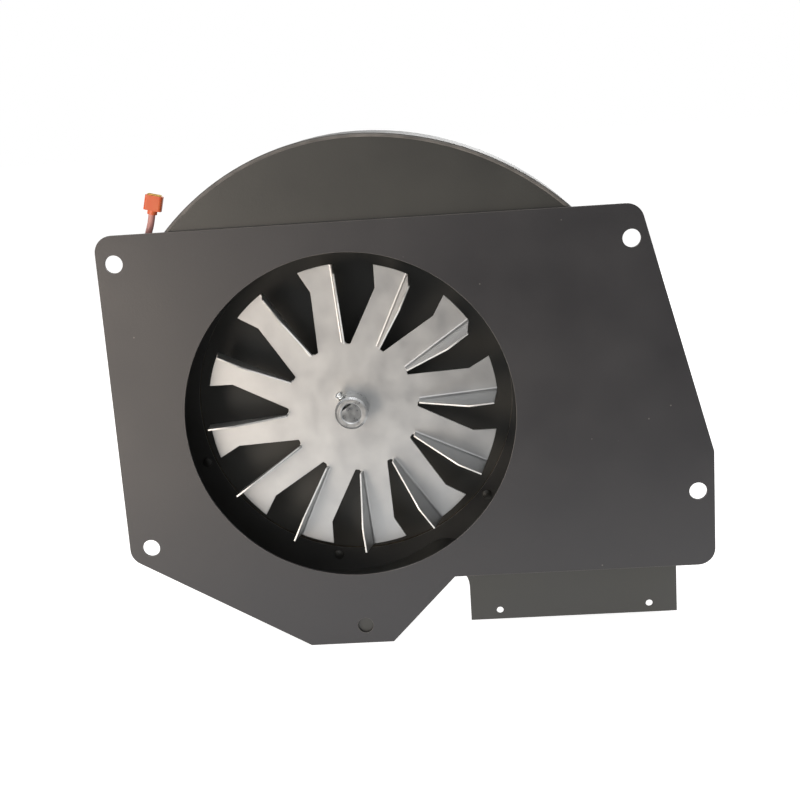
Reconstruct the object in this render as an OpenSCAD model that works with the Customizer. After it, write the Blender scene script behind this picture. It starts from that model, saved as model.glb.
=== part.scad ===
// Exhaust blower: a sheet-steel scroll housing behind a flat mounting plate,
// with a stamped paddle impeller on the shaft of an open-frame shaded-pole motor.
// Millimetres. The origin is the centre of the inlet on the front face of the plate.
// +X is right and +Z is up as seen from the inlet side, +Y runs back to the motor.

/* [Mounting plate] */
// Thickness of the mounting plate
plate_t = 1.2; // [0.8:0.1:3]
// Diameter of the air inlet
inlet_d = 136; // [125:0.5:145]
// Left edge of the plate, from the inlet centre
plate_left = 97; // [94:0.5:120]
// Top edge of the plate, above the inlet centre
plate_top = 80.2; // [74:0.2:95]
// Top right corner, right of the inlet centre
plate_top_right = 119.9; // [105:0.1:130]
// Right edge of the plate, from the inlet centre
plate_right = 147.5; // [137:0.5:170]
// Knee where the slanted right edge turns upright, below the inlet centre
plate_knee_drop = 22.2; // [10:0.2:30]
// Lower edge on the right, below the inlet centre
plate_low_right = 71; // [70:0.2:85]
// Left end of the lower right edge
plate_notch_x = 39.1; // [34:0.1:43]
// Bottom edge of the foot, below the inlet centre
plate_foot_drop = 98.9; // [95:0.1:110]
// Right end of the foot
plate_foot_right = 11.5; // [8:0.1:20]
// Left end of the foot
plate_foot_left = 23.7; // [15:0.1:35]
// Lower left corner, below the inlet centre
plate_low_left = 56.2; // [45:0.2:66]
// Radius of the rounded outer corners
plate_corner_r = 7; // [2:0.5:10]
// Diameter of the four mounting holes
bolt_hole_d = 7.2; // [5:0.1:9]
// Top left hole: in from the left edge
bolt_tl_in = 7.2; // [6:0.1:15]
// Top left hole: down from the top edge
bolt_tl_down = 11.5; // [7:0.1:20]
// Top right hole: left of the top right corner
bolt_tr_in = 3.6; // [3:0.1:15]
// Top right hole: down from the top edge
bolt_tr_down = 13.7; // [8:0.1:25]
// Right hole: in from the right edge
bolt_r_in = 6.7; // [6:0.1:15]
// Right hole: down from the knee
bolt_r_down = 16.7; // [5:0.1:25]
// Lower left hole: in from the left edge
bolt_bl_in = 9.1; // [7:0.1:15]
// Lower left hole: up from the lower left corner
bolt_bl_up = 4.6; // [4:0.1:15]
// Diameter of the hole in the foot
foot_hole_d = 6.6; // [4:0.1:8]
// Foot hole: up from the bottom edge
foot_hole_up = 8; // [5:0.1:12]

/* [Scroll housing] */
// Thickness of the housing sheets
wall_t = 0.8; // [0.6:0.1:1.5]
// Depth of the air space between the two flat walls
scroll_depth = 30.5; // [27:0.5:45]
// From the scroll's smallest clear circle out to its right side and the outlet's
scroll_growth = 60; // [57:0.2:68]
// Side of the square that holds the four centres of the scroll's arcs
scroll_step = 17.5; // [15:0.1:18.5]
// Left side of the outlet, from the shaft
outlet_left = 45; // [44:0.2:55]
// Mouth of the outlet, below the shaft
outlet_drop = 91.3; // [85:0.2:110]
// Radius of the rounded cut-off tongue
tongue_r = 10; // [8:0.2:11]
// Gap all round between the inlet edge and the front wall's own opening
front_opening_gap = 2; // [0.5:0.5:4]
// Sheet between the front wall's opening and the scroll's smallest clear circle
front_opening_rim = 1.4; // [1:0.1:3]
// Diameter of the two screw holes at the outlet
duct_hole_d = 2.9; // [2:0.1:5]
// Left screw hole: in from the left side of the outlet
duct_hole_left_in = 12.3; // [6:0.1:20]
// Right screw hole: in from the right side of the outlet
duct_hole_right_in = 11.5; // [6:0.1:20]
// Screw holes: up from the mouth of the outlet
duct_hole_up = 3.9; // [3:0.1:10]
// Half width of the lug behind the foot hole
lug_half_w = 7; // [5:0.5:8]
// Lug: margin below the foot hole's centre
lug_below = 5; // [4:0.5:6]

/* [Impeller] */
// Diameter over the tips of the arms
impeller_d = 122.6; // [110:0.2:126]
// Number of arms
arm_count = 12; // [8:1:12]
// Thickness of the impeller sheet
impeller_t = 0.7; // [0.6:0.1:1.5]
// Direction of the first fold line, counter-clockwise from +X seen from the inlet
fold_angle = 94.3; // [85:0.1:105]
// Distance of each fold line from the shaft axis, on the clockwise side
fold_off = 1.1; // [0.9:0.1:2]
// Width of an arm at its root
arm_root_w = 12.1; // [11:0.1:12.5]
// Width of an arm at its neck, where it starts to flare
arm_neck_w = 11.4; // [9:0.1:12]
// Width of an arm at its tip
arm_tip_w = 15.6; // [12:0.1:17]
// Distance of the neck from the shaft axis
arm_neck_r = 50.8; // [45:0.1:54]
// Distance of the arm roots from the shaft axis
arm_root_r = 27.6; // [26:0.1:30]
// How much nearer to the shaft an arm's open side ends than its fold
notch_step = 2.6; // [1.8:0.1:3]
// Radius of the corners at the end of a notch
notch_r = 0.6; // [0.3:0.1:0.8]
// Height of a paddle at its outer end
paddle_tip_h = 16.2; // [12:0.1:18]
// Height of a paddle at its corner
paddle_neck_h = 16.2; // [10:0.1:17]
// Height of a paddle at its root
paddle_root_h = 4; // [2:0.1:6]
// Distance of the paddle's corner from the shaft axis
paddle_neck_r = 48.8; // [40:0.1:52]
// How far the paddle's free end is set in from the arm's tip
paddle_tip_in = 2.1; // [0.3:0.1:5]
// Lean of the paddles, clockwise from upright
paddle_lean = 6; // [0:0.5:12]
// Gap between the paddles and the front wall
paddle_gap = 0.6; // [0.5:0.1:3]

/* [Hub and shaft] */
// Diameter of the shaft
shaft_d = 7.94; // [6:0.02:10]
// Depth of the flat on the front end of the shaft
flat_depth = 0.9; // [0.5:0.1:1.5]
// Length of the flat
flat_l = 20; // [12:0.5:24]
// Diameter of the hub's nose in front of the impeller
hub_nose_d = 13.7; // [12.5:0.1:18]
// Length of the hub's nose
hub_nose_l = 10.8; // [8:0.1:12]
// Chamfer on the front edge of the nose
hub_chamfer = 0.8; // [0.2:0.1:1.2]
// Diameter of the hub's flange behind the impeller
hub_flange_d = 26; // [20:0.5:34]
// Thickness of the hub's flange
hub_flange_t = 3; // [2:0.5:5]
// Step from the nose down to the hub's neck, where the sheet is swaged on
hub_neck_step = 0.85; // [0.5:0.05:1.2]
// Diameter of the set screw
set_screw_d = 4; // [3:0.1:5]
// Distance of the set screw from the front end of the hub
set_screw_in = 5.2; // [4:0.1:6]
// Distance of the set screw's outer end from the shaft axis
set_screw_reach = 9.5; // [8:0.1:14]
// Direction of the set screw, counter-clockwise from +X seen from the inlet
set_screw_angle = 125; // [90:1:180]

/* [Motor plate] */
// From the circle of plate screws out to the motor plate's edge
motor_plate_rim = 3.6; // [3.2:0.1:6]
// From the circle of plate screws in to the edge of the motor opening
motor_opening_rim = 3.65; // [3.2:0.05:6]
// Thickness of the motor plate
motor_plate_t = 1.5; // [1:0.1:3]
// Diameter of the shaft hole in the motor plate
shaft_hole_d = 14; // [12:0.5:24]
// Thickness of the gasket
gasket_t = 1.5; // [0.8:0.1:3]
// Diameter of the circle of plate screws
plate_screw_pcd = 142.8; // [142:0.2:146]
// Number of plate screws
plate_screw_count = 6; // [4:1:8]
// Direction of the first plate screw
plate_screw_angle = 20; // [10:1:30]
// Diameter of a plate screw
plate_screw_d = 4.2; // [3:0.1:4.4]
// Across the flats of a plate screw's head
plate_screw_af = 6.4; // [5:0.1:7]
// Height of a plate screw's head
plate_screw_head = 3.2; // [2:0.1:5]
// How far a plate screw's point comes out inside the scroll
plate_screw_out = 1; // [0.5:0.5:6]

/* [Motor] */
// Length of the sleeves that hold the motor off its plate
standoff_l = 22.2; // [18:0.1:40]
// Outer diameter of the sleeves
standoff_d = 9; // [7:0.5:11]
// Diameter of the studs
stud_d = 4.2; // [3:0.1:5]
// Studs: distance to either side of the shaft
stud_x = 22; // [21:0.1:24]
// Studs: distance above and below the shaft
stud_z = 34; // [30:0.1:35]
// How far a stud comes out of its nut
stud_end = 3; // [1:0.5:8]
// Across the flats of a stud nut
nut_af = 8; // [7:0.1:10]
// Height of a stud nut
nut_h = 3.4; // [2.5:0.1:5]
// Thickness of the bracket arms
bracket_t = 4; // [3:0.1:6]
// Width of the bracket arms
bracket_w = 10; // [8:0.5:11]
// Diameter of the eyes at the ends of the bracket arms
eye_d = 12.6; // [12:0.2:15]
// Diameter of the bracket's legs
leg_d = 11; // [8:0.2:11.4]
// Gap between the bearing bosses and the rotor's end rings
rotor_end_gap = 1.5; // [0.5:0.1:4]
// Diameter of the bearing boss
boss_d = 24; // [23:0.5:28]
// Length of the bearing boss
boss_l = 10; // [9.5:0.5:12]
// Diameter of the bearing ball
ball_d = 15; // [13.5:0.1:16]
// Length of the bearing ball
ball_l = 10; // [9:0.1:11]
// Diameter of the bearing retainer
retainer_d = 21; // [19:0.1:22]
// Thickness of the bearing retainer
retainer_t = 1; // [0.5:0.1:1.5]
// Length of the laminated core
stack_l = 26; // [20:0.5:40]
// Gap between the bobbin's ends and the core's limbs
bobbin_end_gap = 1; // [0.3:0.1:3]
// Reach of the core to the right of the shaft
core_right = 28; // [26.5:0.1:32]
// Width of the core's side limbs
limb_w = 18; // [16:0.1:19]
// Width of the window in the core
window_w = 20; // [18:0.1:24]
// Width of the bar through the coil
bar_w = 18; // [14:0.1:22]
// Diameter of the rotor
rotor_d = 34; // [30:0.1:34.6]
// Air gap between rotor and core
air_gap = 0.5; // [0.3:0.05:0.8]
// Width of the slots between the two poles
pole_slot_w = 3.2; // [3:0.1:4]
// Thickness of the thin bridges that close the pole slots
bridge_t = 1.2; // [0.8:0.1:2]
// Thickness of the rotor's end rings
end_ring_t = 4; // [2:0.1:5]
// Width of a shading ring's bar
shading_w = 2.4; // [1.5:0.1:2.6]
// Distance of the shading slots from the shaft axis
shading_r = 21; // [20:0.1:21.5]
// Diameter of the rivets through the core
rivet_d = 4; // [3:0.1:5]
// Diameter of the rivet heads
rivet_head_d = 7; // [6:0.1:8]
// Height of the rivet heads
rivet_head_h = 1.5; // [1:0.1:2.5]

/* [Coil] */
// Build of the winding on each side of the bobbin
coil_build = 11; // [8:0.1:12]
// Length of the bobbin between the core's limbs
bobbin_l = 46; // [40:0.1:47.5]
// Wall of the bobbin
bobbin_t = 1.5; // [1:0.1:2]
// How far the bobbin's flanges stand above the winding
flange_up = 2; // [1.5:0.1:3]
// Thickness of the tape round the winding
tape_t = 0.6; // [0.3:0.1:1]
// Diameter of the boss where the lead comes out of the bobbin
lead_boss_d = 6; // [5:0.1:7]
// Length of the lead boss
lead_boss_l = 6; // [4:0.5:8]
// Width of the spare terminal blade on the bobbin
spare_blade_w = 6.3; // [4:0.1:7]
// Height of the spare terminal blade
spare_blade_h = 8; // [6:0.5:10]
// Thickness of the spare terminal blade
spare_blade_t = 0.8; // [0.5:0.1:1]

/* [Cooling fan] */
// Diameter of the cooling fan
fan_d = 78; // [60:1:90]
// Number of fan blades
fan_blade_count = 5; // [3:1:7]
// Length of the fan's hub
fan_hub_l = 11; // [9:0.5:16]
// Diameter of the fan's hub
fan_hub_d = 16; // [13:0.5:20]
// Width of a fan blade
fan_blade_w = 20; // [12:0.5:22]
// Thickness of a fan blade
fan_blade_t = 1.2; // [0.8:0.1:2]
// Pitch of the fan blades
fan_pitch = 24; // [10:1:30]
// Gap between the stud ends and the fan's blades
fan_gap = 6; // [5:0.5:12]

/* [Lead] */
// Diameter of the lead wire
lead_d = 2.8; // [2:0.1:3.4]
// Width of the terminal's sleeve
sleeve_w = 7.2; // [6.6:0.1:9]
// Thickness of the terminal's sleeve
sleeve_t = 4.2; // [3.8:0.1:6]
// Length of the terminal's sleeve
sleeve_l = 7.6; // [6:0.1:20]
// Wall of the terminal's sleeve
sleeve_wall = 0.7; // [0.5:0.1:1]
// How far the metal terminal stands out of its sleeve
terminal_out = 0.6; // [0.2:0.1:2]

/* [Hidden] */
$fn = 64;

// Clearance of a loose piece in its hole, of the shaft in its bearings,
// and of a piece that is pressed or screwed home.
loose = 0.15;
run_fit = 0.03;
snug = 0.05;
eps = 0.01;

// How far a cut runs past the face that it opens.
over = 1;

// Stations along the shaft, from the front face of the mounting plate to the back.
front_wall_y = plate_t;
inside_y = front_wall_y + wall_t;
back_wall_y = inside_y + scroll_depth;
gasket_y = back_wall_y + wall_t;
motor_plate_y = gasket_y + gasket_t;
standoff_y = motor_plate_y + motor_plate_t;
front_bracket_y = standoff_y + standoff_l;
leg_l = boss_l - bracket_t + rotor_end_gap + end_ring_t;
front_leg_y = front_bracket_y + bracket_t;
stack_y = front_leg_y + leg_l;
rear_leg_y = stack_y + stack_l;
rear_bracket_y = rear_leg_y + leg_l;
nut_y = rear_bracket_y + bracket_t;
stud_tip_y = nut_y + nut_h + stud_end;
disc_y = inside_y + paddle_gap + paddle_tip_h * cos(paddle_lean);
hub_front_y = disc_y - hub_nose_l;
fan_reach_y = fan_blade_w * sin(fan_pitch) / 2 + fan_blade_t;
fan_mid_y = stud_tip_y + fan_gap + fan_reach_y;
fan_hub_y = fan_mid_y - fan_hub_l / 2;
push_nut_t = 1.2;
push_nut_step = 1;
push_nut_d = fan_hub_d - 2 * push_nut_step;
shaft_tail = 2;
shaft_inset = 0.4;
shaft_front_y = hub_front_y + shaft_inset;
shaft_back_y = fan_hub_y + fan_hub_l + push_nut_t + shaft_tail;
shaft_r = shaft_d / 2;

// A flat shape drawn in X and Z, t thick, with its front at y.
module slab(y, t) {
    translate([0, y + t, 0])
        rotate([90, 0, 0])
            linear_extrude(t)
                children();
}

// A round bar along Y.
module bar(y, l, d, x = 0, z = 0, fn = 64) {
    translate([x, y + l, z])
        rotate([90, 0, 0])
            cylinder(d = d, h = l, $fn = fn);
}

// Points along an arc, first to last angle.
function arc_points(centre, r, from, to, steps) =
    [for (i = [0 : steps])
        let (angle = from + (to - from) * i / steps)
        centre + r * [cos(angle), sin(angle)]];

function unit(v) = v / norm(v);

// One corner of an outline, rounded with radius r, between the points before and after it.
function round_corner(before, corner, after, r, steps = 8) =
    let (
        a = unit(before - corner),
        b = unit(after - corner),
        half = acos(a * b) / 2,
        centre = corner + unit(a + b) * r / sin(half),
        start = corner + a * r / tan(half) - centre,
        end = corner + b * r / tan(half) - centre,
        start_angle = atan2(start[1], start[0]),
        turn = atan2(start[0] * end[1] - start[1] * end[0], start * end)
    )
    arc_points(centre, r, start_angle, start_angle + turn, steps);

// Mounting plate: outline clockwise from the top left corner, each point with its corner radius.
plate_points = [
    [[-plate_left, plate_top], plate_corner_r],
    [[plate_top_right, plate_top], plate_corner_r],
    [[plate_right, -plate_knee_drop], 0],
    [[plate_right, -plate_low_right], plate_corner_r],
    [[plate_notch_x, -plate_low_right], 0],
    [[plate_foot_right, -plate_foot_drop], 0],
    [[-plate_foot_left, -plate_foot_drop], 0],
    [[-plate_left, -plate_low_left], plate_corner_r]
];
function plate_outline(p) =
    [for (i = [0 : len(p) - 1])
        let (before = p[(i + len(p) - 1) % len(p)][0], after = p[(i + 1) % len(p)][0])
        each p[i][1] > 0 ? round_corner(before, p[i][0], after, p[i][1]) : [p[i][0]]];

bolt_holes = [
    [-plate_left + bolt_tl_in, plate_top - bolt_tl_down],
    [plate_top_right - bolt_tr_in, plate_top - bolt_tr_down],
    [plate_right - bolt_r_in, -plate_knee_drop - bolt_r_down],
    [-plate_left + bolt_bl_in, -plate_low_left + bolt_bl_up]
];
foot_hole = [0, -plate_foot_drop + foot_hole_up];

module mounting_plate() {
    color("#3c3b3d")
        slab(0, plate_t)
            difference() {
                polygon(plate_outline(plate_points));
                circle(d = inlet_d, $fn = 128);
                for (p = bolt_holes)
                    translate(p)
                        circle(d = bolt_hole_d);
                translate(foot_hole)
                    circle(d = foot_hole_d);
            }
}

// The motor plate, its gasket and the opening that they close, all about the circle of plate screws.
motor_plate_d = plate_screw_pcd + 2 * motor_plate_rim;
motor_opening_d = plate_screw_pcd - 2 * motor_opening_rim;

// Scroll: four quarter arcs about the corners of a small square, then straight down to the outlet.
// Its smallest clear circle goes round the front opening and the plate screws.
front_opening_r = inlet_d / 2 + front_opening_gap;
scroll_clear_r = max(front_opening_r + front_opening_rim, plate_screw_pcd / 2);
scroll_right = scroll_clear_r + scroll_growth;
half_step = scroll_step / 2;
arc_1_r = scroll_right - half_step;
arc_4_r = arc_1_r - 3 * scroll_step;
arc_4_centre = [-half_step, -half_step];
tongue_x = outlet_left - tongue_r;
tongue_fall = sqrt(pow(arc_4_r + tongue_r, 2) - pow(tongue_x + half_step, 2));
tongue_centre = [tongue_x, -half_step - tongue_fall];
tongue_angle = atan2(-tongue_fall, tongue_x + half_step);
function scroll_outline(inset, drop) = concat(
    [[scroll_right - inset, -drop]],
    arc_points([half_step, -half_step], arc_1_r - inset, 0, 90, 30),
    arc_points([half_step, half_step], arc_1_r - scroll_step - inset, 93, 180, 29),
    arc_points([-half_step, half_step], arc_1_r - 2 * scroll_step - inset, 183, 270, 29),
    arc_points(arc_4_centre, arc_4_r - inset, 273, 360 + tongue_angle, 13),
    arc_points(tongue_centre, tongue_r + inset, tongue_angle + 170, 0, 10),
    [[outlet_left + inset, -drop]]
);

duct_holes = [
    [outlet_left + duct_hole_left_in, -outlet_drop + duct_hole_up],
    [scroll_right - duct_hole_right_in, -outlet_drop + duct_hole_up]
];
lug_bottom = foot_hole[1] - lug_below;

module scroll_front_wall() {
    color("#3f3f3e")
        slab(front_wall_y, wall_t)
            difference() {
                union() {
                    polygon(scroll_outline(0, outlet_drop));
                    translate([-lug_half_w, lug_bottom])
                        square([2 * lug_half_w, -lug_bottom - inlet_d / 2]);
                }
                circle(r = front_opening_r, $fn = 128);
                for (p = duct_holes)
                    translate(p)
                        circle(d = duct_hole_d);
            }
}

module scroll_wrapper() {
    color("#3f3f3e")
        slab(inside_y, scroll_depth)
            difference() {
                polygon(scroll_outline(0, outlet_drop));
                polygon(scroll_outline(wall_t, outlet_drop + over));
            }
}

plate_screw_angles = [for (i = [0 : plate_screw_count - 1]) plate_screw_angle + i * 360 / plate_screw_count];
module at_plate_screws() {
    for (a = plate_screw_angles)
        translate(plate_screw_pcd / 2 * [cos(a), sin(a)])
            children();
}

module plate_screw_holes() {
    at_plate_screws()
        circle(d = plate_screw_d + 2 * snug);
}

module scroll_back_wall() {
    color("#3f3f3e")
        slab(back_wall_y, wall_t)
            difference() {
                polygon(scroll_outline(0, outlet_drop));
                circle(d = motor_opening_d, $fn = 128);
                plate_screw_holes();
            }
}

module motor_gasket() {
    color("#59544c")
        slab(gasket_y, gasket_t)
            difference() {
                circle(d = motor_plate_d, $fn = 128);
                circle(d = motor_opening_d, $fn = 128);
                plate_screw_holes();
            }
}

module motor_plate() {
    color("#4a4a49")
        slab(motor_plate_y, motor_plate_t)
            difference() {
                circle(d = motor_plate_d, $fn = 128);
                circle(d = shaft_hole_d);
                plate_screw_holes();
            }
}

// Hexagon-head sheet-metal screws through motor plate, gasket and back wall.
module motor_plate_screws() {
    washer_t = 0.8;
    washer_rim = 0.6;
    washer_d = plate_screw_af + 2 * washer_rim;
    tip_y = back_wall_y - plate_screw_out;
    color("#2e2e2f")
        for (a = plate_screw_angles) {
            x = plate_screw_pcd / 2 * cos(a);
            z = plate_screw_pcd / 2 * sin(a);
            bar(tip_y, standoff_y - tip_y + eps, plate_screw_d, x, z);
            bar(standoff_y, washer_t, washer_d, x, z);
            bar(standoff_y, plate_screw_head, plate_screw_af / cos(30), x, z, 6);
        }
}

// The four stud places around the shaft.
stud_places = [for (x = [-stud_x, stud_x]) for (z = [-stud_z, stud_z]) [x, z]];

module motor_studs() {
    color("#a9adb2")
        for (p = stud_places)
            bar(standoff_y, stud_tip_y - standoff_y, stud_d, p[0], p[1]);
}

module stud_holes(y, l) {
    for (p = stud_places)
        bar(y - eps, l + 2 * eps, stud_d + 2 * loose, p[0], p[1]);
}

module standoff_sleeves() {
    color("#b4b7bb")
        difference() {
            for (p = stud_places)
                bar(standoff_y, standoff_l, standoff_d, p[0], p[1]);
            stud_holes(standoff_y, standoff_l);
        }
}

module stud_nuts() {
    color("#b9bcc0")
        for (p = stud_places)
            difference() {
                bar(nut_y, nut_h, nut_af / cos(30), p[0], p[1], 6);
                bar(nut_y - eps, nut_h + 2 * eps, stud_d + 2 * snug, p[0], p[1]);
            }
}

// Die-cast bracket: a cross of two bars with eyes, legs that stand on the core, and a bearing boss
// whose mouth, with the retainer's seat, faces the rotor.
arm_slant = atan2(stud_z, stud_x);
arm_span = 2 * norm([stud_x, stud_z]);
seat_step = 1.2;
module bearing_bracket(plate_y, leg_y, boss_y, mouth_y) {
    difference() {
        union() {
            slab(plate_y, bracket_t)
                for (a = [arm_slant, -arm_slant])
                    rotate(a)
                        square([arm_span, bracket_w], center = true);
            for (p = stud_places) {
                bar(plate_y, bracket_t, eye_d, p[0], p[1]);
                bar(leg_y, leg_l, leg_d, p[0], p[1]);
            }
            bar(boss_y, boss_l, boss_d);
        }
        bar(boss_y - eps, boss_l + 2 * eps, ball_d + 2 * snug);
        bar(mouth_y, retainer_t + seat_step, retainer_d + 2 * snug);
        stud_holes(plate_y - leg_l - over, bracket_t + 2 * (leg_l + over));
    }
}

// The boss lies level with the outer face of the bracket, and its mouth is on the rotor side.
front_boss_y = front_bracket_y;
rear_boss_y = rear_bracket_y + bracket_t - boss_l;
front_seat_y = front_boss_y + boss_l - retainer_t;
rear_seat_y = rear_boss_y;
ball_inset = 1;
front_ball_y = front_seat_y - ball_l + ball_inset;
rear_ball_y = rear_seat_y + retainer_t - ball_inset;

module front_bracket() {
    color("#9a9b9c")
        bearing_bracket(front_bracket_y, front_leg_y, front_boss_y, front_seat_y);
}

module rear_bracket() {
    color("#9a9b9c")
        bearing_bracket(rear_bracket_y, rear_leg_y, rear_boss_y, rear_seat_y - seat_step);
}

// Self-aligning sintered bearing: a ball with flat ends and a true bore.
module bearing_ball(y) {
    difference() {
        intersection() {
            translate([0, y + ball_l / 2, 0])
                rotate([90, 0, 0])
                    sphere(d = ball_d);
            bar(y, ball_l, ball_d + over);
        }
        bar(y - eps, ball_l + 2 * eps, shaft_d + 2 * run_fit);
    }
}

module front_bearing() {
    color("#a9743c")
        bearing_ball(front_ball_y);
}

module rear_bearing() {
    color("#a9743c")
        bearing_ball(rear_ball_y);
}

// Spring washers that press the balls into their seats; the hole bears on the ball's shoulder.
shoulder_d = 2 * sqrt(pow(ball_d / 2, 2) - pow(ball_l / 2 - ball_inset, 2));
module bearing_retainers() {
    color("#c2c4c6")
        for (y = [front_seat_y, rear_seat_y])
            difference() {
                bar(y, retainer_t, retainer_d);
                bar(y - eps, retainer_t + 2 * eps, shoulder_d + 2 * snug);
            }
}

// Stator: a C of laminations around the rotor, closed by the bar that carries the coil.
bore_d = rotor_d + 2 * air_gap;
window_left = -core_right - window_w;
core_left = window_left - bar_w;
window_half_h = bobbin_l / 2 + bobbin_end_gap;
core_half_h = window_half_h + limb_w;
limb_mid_z = core_half_h - limb_w / 2;
shading_hole = shading_r * [cos(45), sin(45)];
shading_back = 1.5;
shading_edge = 0.5;
right_loop_x = bore_d / 2 + shading_back + shading_w / 2;
left_loop_x = -core_right + shading_edge + shading_w / 2;
bar_mid_x = core_left + bar_w / 2;
window_mid_x = window_left + window_w / 2;
rivet_places = [for (x = [bar_mid_x, window_mid_x]) for (z = [-limb_mid_z, limb_mid_z]) [x, z]];

module stator_core() {
    color("#6f7377")
        difference() {
            slab(stack_y, stack_l)
                difference() {
                    translate([core_left, -core_half_h])
                        square([core_right - core_left, 2 * core_half_h]);
                    translate([core_left - over, -window_half_h])
                        square([bar_w + window_w + over, 2 * window_half_h]);
                    translate([0, -pole_slot_w / 2])
                        square([core_right - bridge_t, pole_slot_w]);
                    translate([-core_right - eps, -pole_slot_w / 2])
                        square([core_right - bore_d / 2 - bridge_t, pole_slot_w]);
                    for (s = [-1, 1])
                        translate(s * shading_hole)
                            rotate(45)
                                square(shading_w + 2 * loose, center = true);
                }
            bar(stack_y - eps, stack_l + 2 * eps, bore_d, fn = 96);
            stud_holes(stack_y, stack_l);
            for (p = rivet_places)
                bar(stack_y - eps, stack_l + 2 * eps, rivet_d + 2 * snug, p[0], p[1]);
        }
}

module coil_bar() {
    color("#6f7377")
        slab(stack_y, stack_l)
            translate([core_left, -window_half_h + snug])
                square([bar_w, 2 * (window_half_h - snug)]);
}

module core_rivets() {
    color("#b9bcc0")
        for (p = rivet_places) {
            bar(stack_y, stack_l, rivet_d, p[0], p[1]);
            bar(stack_y - rivet_head_h, rivet_head_h, rivet_head_d, p[0], p[1]);
            bar(rear_leg_y, rivet_head_h, rivet_head_d, p[0], p[1]);
        }
}

// Shading rings: copper loops through the core, one on each pole, half a turn apart.
// The left pole slot is closed on the bore side, so that loop's free leg lies in its outer part.
module shading_loop(hole, gap_x) {
    loop_l = stack_l + 2 * shading_w;
    side = hole - [gap_x, 0];
    slab(stack_y - shading_w, loop_l) {
        translate(hole)
            rotate(45)
                square(shading_w, center = true);
        translate([gap_x, 0])
            square(shading_w, center = true);
    }
    for (y = [stack_y - shading_w, rear_leg_y])
        slab(y, shading_w)
            translate(hole - side / 2)
                rotate(atan2(side[1], side[0]))
                    square([norm(side), shading_w], center = true);
}

module shading_rings() {
    color("#b8713f") {
        shading_loop(shading_hole, right_loop_x);
        shading_loop(-shading_hole, left_loop_x);
    }
}

// Coil: bobbin on the bar, winding and tape around it.
stack_mid_y = stack_y + stack_l / 2;
tube_x = bar_w + 2 * (bobbin_t + loose);
tube_y = stack_l + 2 * (bobbin_t + loose);
wound_x = tube_x + 2 * coil_build;
wound_y = tube_y + 2 * coil_build;
flange_over = 2 * (tape_t + flange_up);
flange_corner_r = 4;
winding_corner_r = 6;
flange_z = bobbin_l / 2 - bobbin_t;

// A block on the coil's axis, from z up, centred on the bar.
module coil_block(x, y, z, h, r = 0) {
    translate([bar_mid_x, stack_mid_y, z])
        linear_extrude(h)
            if (r > 0)
                polygon(rounded_rectangle(x, y, r));
            else
                square([x, y], center = true);
}

function rounded_rectangle(x, y, r) = concat(
    arc_points([x / 2 - r, y / 2 - r], r, 0, 90, 6),
    arc_points([-x / 2 + r, y / 2 - r], r, 90, 180, 6),
    arc_points([-x / 2 + r, -y / 2 + r], r, 180, 270, 6),
    arc_points([x / 2 - r, -y / 2 + r], r, 270, 360, 6)
);

// Places of the lead boss and the spare blade on the upper flange, from the coil's axis.
lead_boss_out = 16;
lead_boss_fore = 5;
spare_aft = 12;
lead_boss_x = bar_mid_x - lead_boss_out;
lead_boss_y = stack_mid_y - lead_boss_fore;
lead_boss_z = bobbin_l / 2;
spare_y = stack_mid_y + spare_aft;

module coil_bobbin() {
    color("#d8d4c6")
        difference() {
            union() {
                coil_block(tube_x, tube_y, -bobbin_l / 2, bobbin_l);
                for (z = [-bobbin_l / 2, flange_z])
                    coil_block(wound_x + flange_over, wound_y + flange_over, z, bobbin_t, flange_corner_r);
                translate([lead_boss_x, lead_boss_y, lead_boss_z - eps])
                    cylinder(d = lead_boss_d, h = lead_boss_l + eps);
            }
            coil_block(bar_w + 2 * loose, stack_l + 2 * loose, -bobbin_l / 2 - over, bobbin_l + 2 * over);
        }
}

module coil_winding() {
    color("#a85f32")
        difference() {
            coil_block(wound_x, wound_y, -flange_z, 2 * flange_z, winding_corner_r);
            coil_block(tube_x, tube_y, -flange_z - over, 2 * (flange_z + over));
        }
}

module coil_tape() {
    taped_x = wound_x + 2 * tape_t;
    taped_y = wound_y + 2 * tape_t;
    color("#cfc28c")
        difference() {
            coil_block(taped_x, taped_y, -flange_z, 2 * flange_z, winding_corner_r + tape_t);
            coil_block(wound_x, wound_y, -flange_z - over, 2 * (flange_z + over), winding_corner_r);
        }
}

module spare_terminal_blade() {
    color("#c9a25a")
        translate([lead_boss_x, spare_y, lead_boss_z + spare_blade_h / 2])
            cube([spare_blade_t, spare_blade_w, spare_blade_h], center = true);
}

// Lead: one tube swept along its route, from the boss on the bobbin, forward over the
// scroll's left shoulder and up behind the plate's top edge to the terminal.
lead_route = [
    [-73, 82, 29], [-73, 82, 34], [-73, 81, 39], [-74, 78, 45], [-75, 73, 51], [-77, 67, 57],
    [-79, 60, 62], [-81, 53, 66], [-82, 45, 68], [-81, 37, 69], [-80.5, 29, 69], [-80, 22, 69.5],
    [-79.5, 16, 71], [-78, 11, 74.5], [-76.5, 8.5, 79], [-75, 8, 83], [-74, 8, 87]
];
lead_sides = 8;
function tangent(p, i) = unit(p[min(i + 1, len(p) - 1)] - p[max(i - 1, 0)]);
function across(t) = unit(cross(t, [1, 0, 0]));
lead_rings = [for (i = [0 : len(lead_route) - 1])
    let (t = tangent(lead_route, i), a = across(t), b = cross(t, a))
    for (k = [0 : lead_sides - 1])
        lead_route[i] + lead_d / 2 * (a * cos(k * 360 / lead_sides) + b * sin(k * 360 / lead_sides))];
lead_last = (len(lead_route) - 1) * lead_sides;
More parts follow.
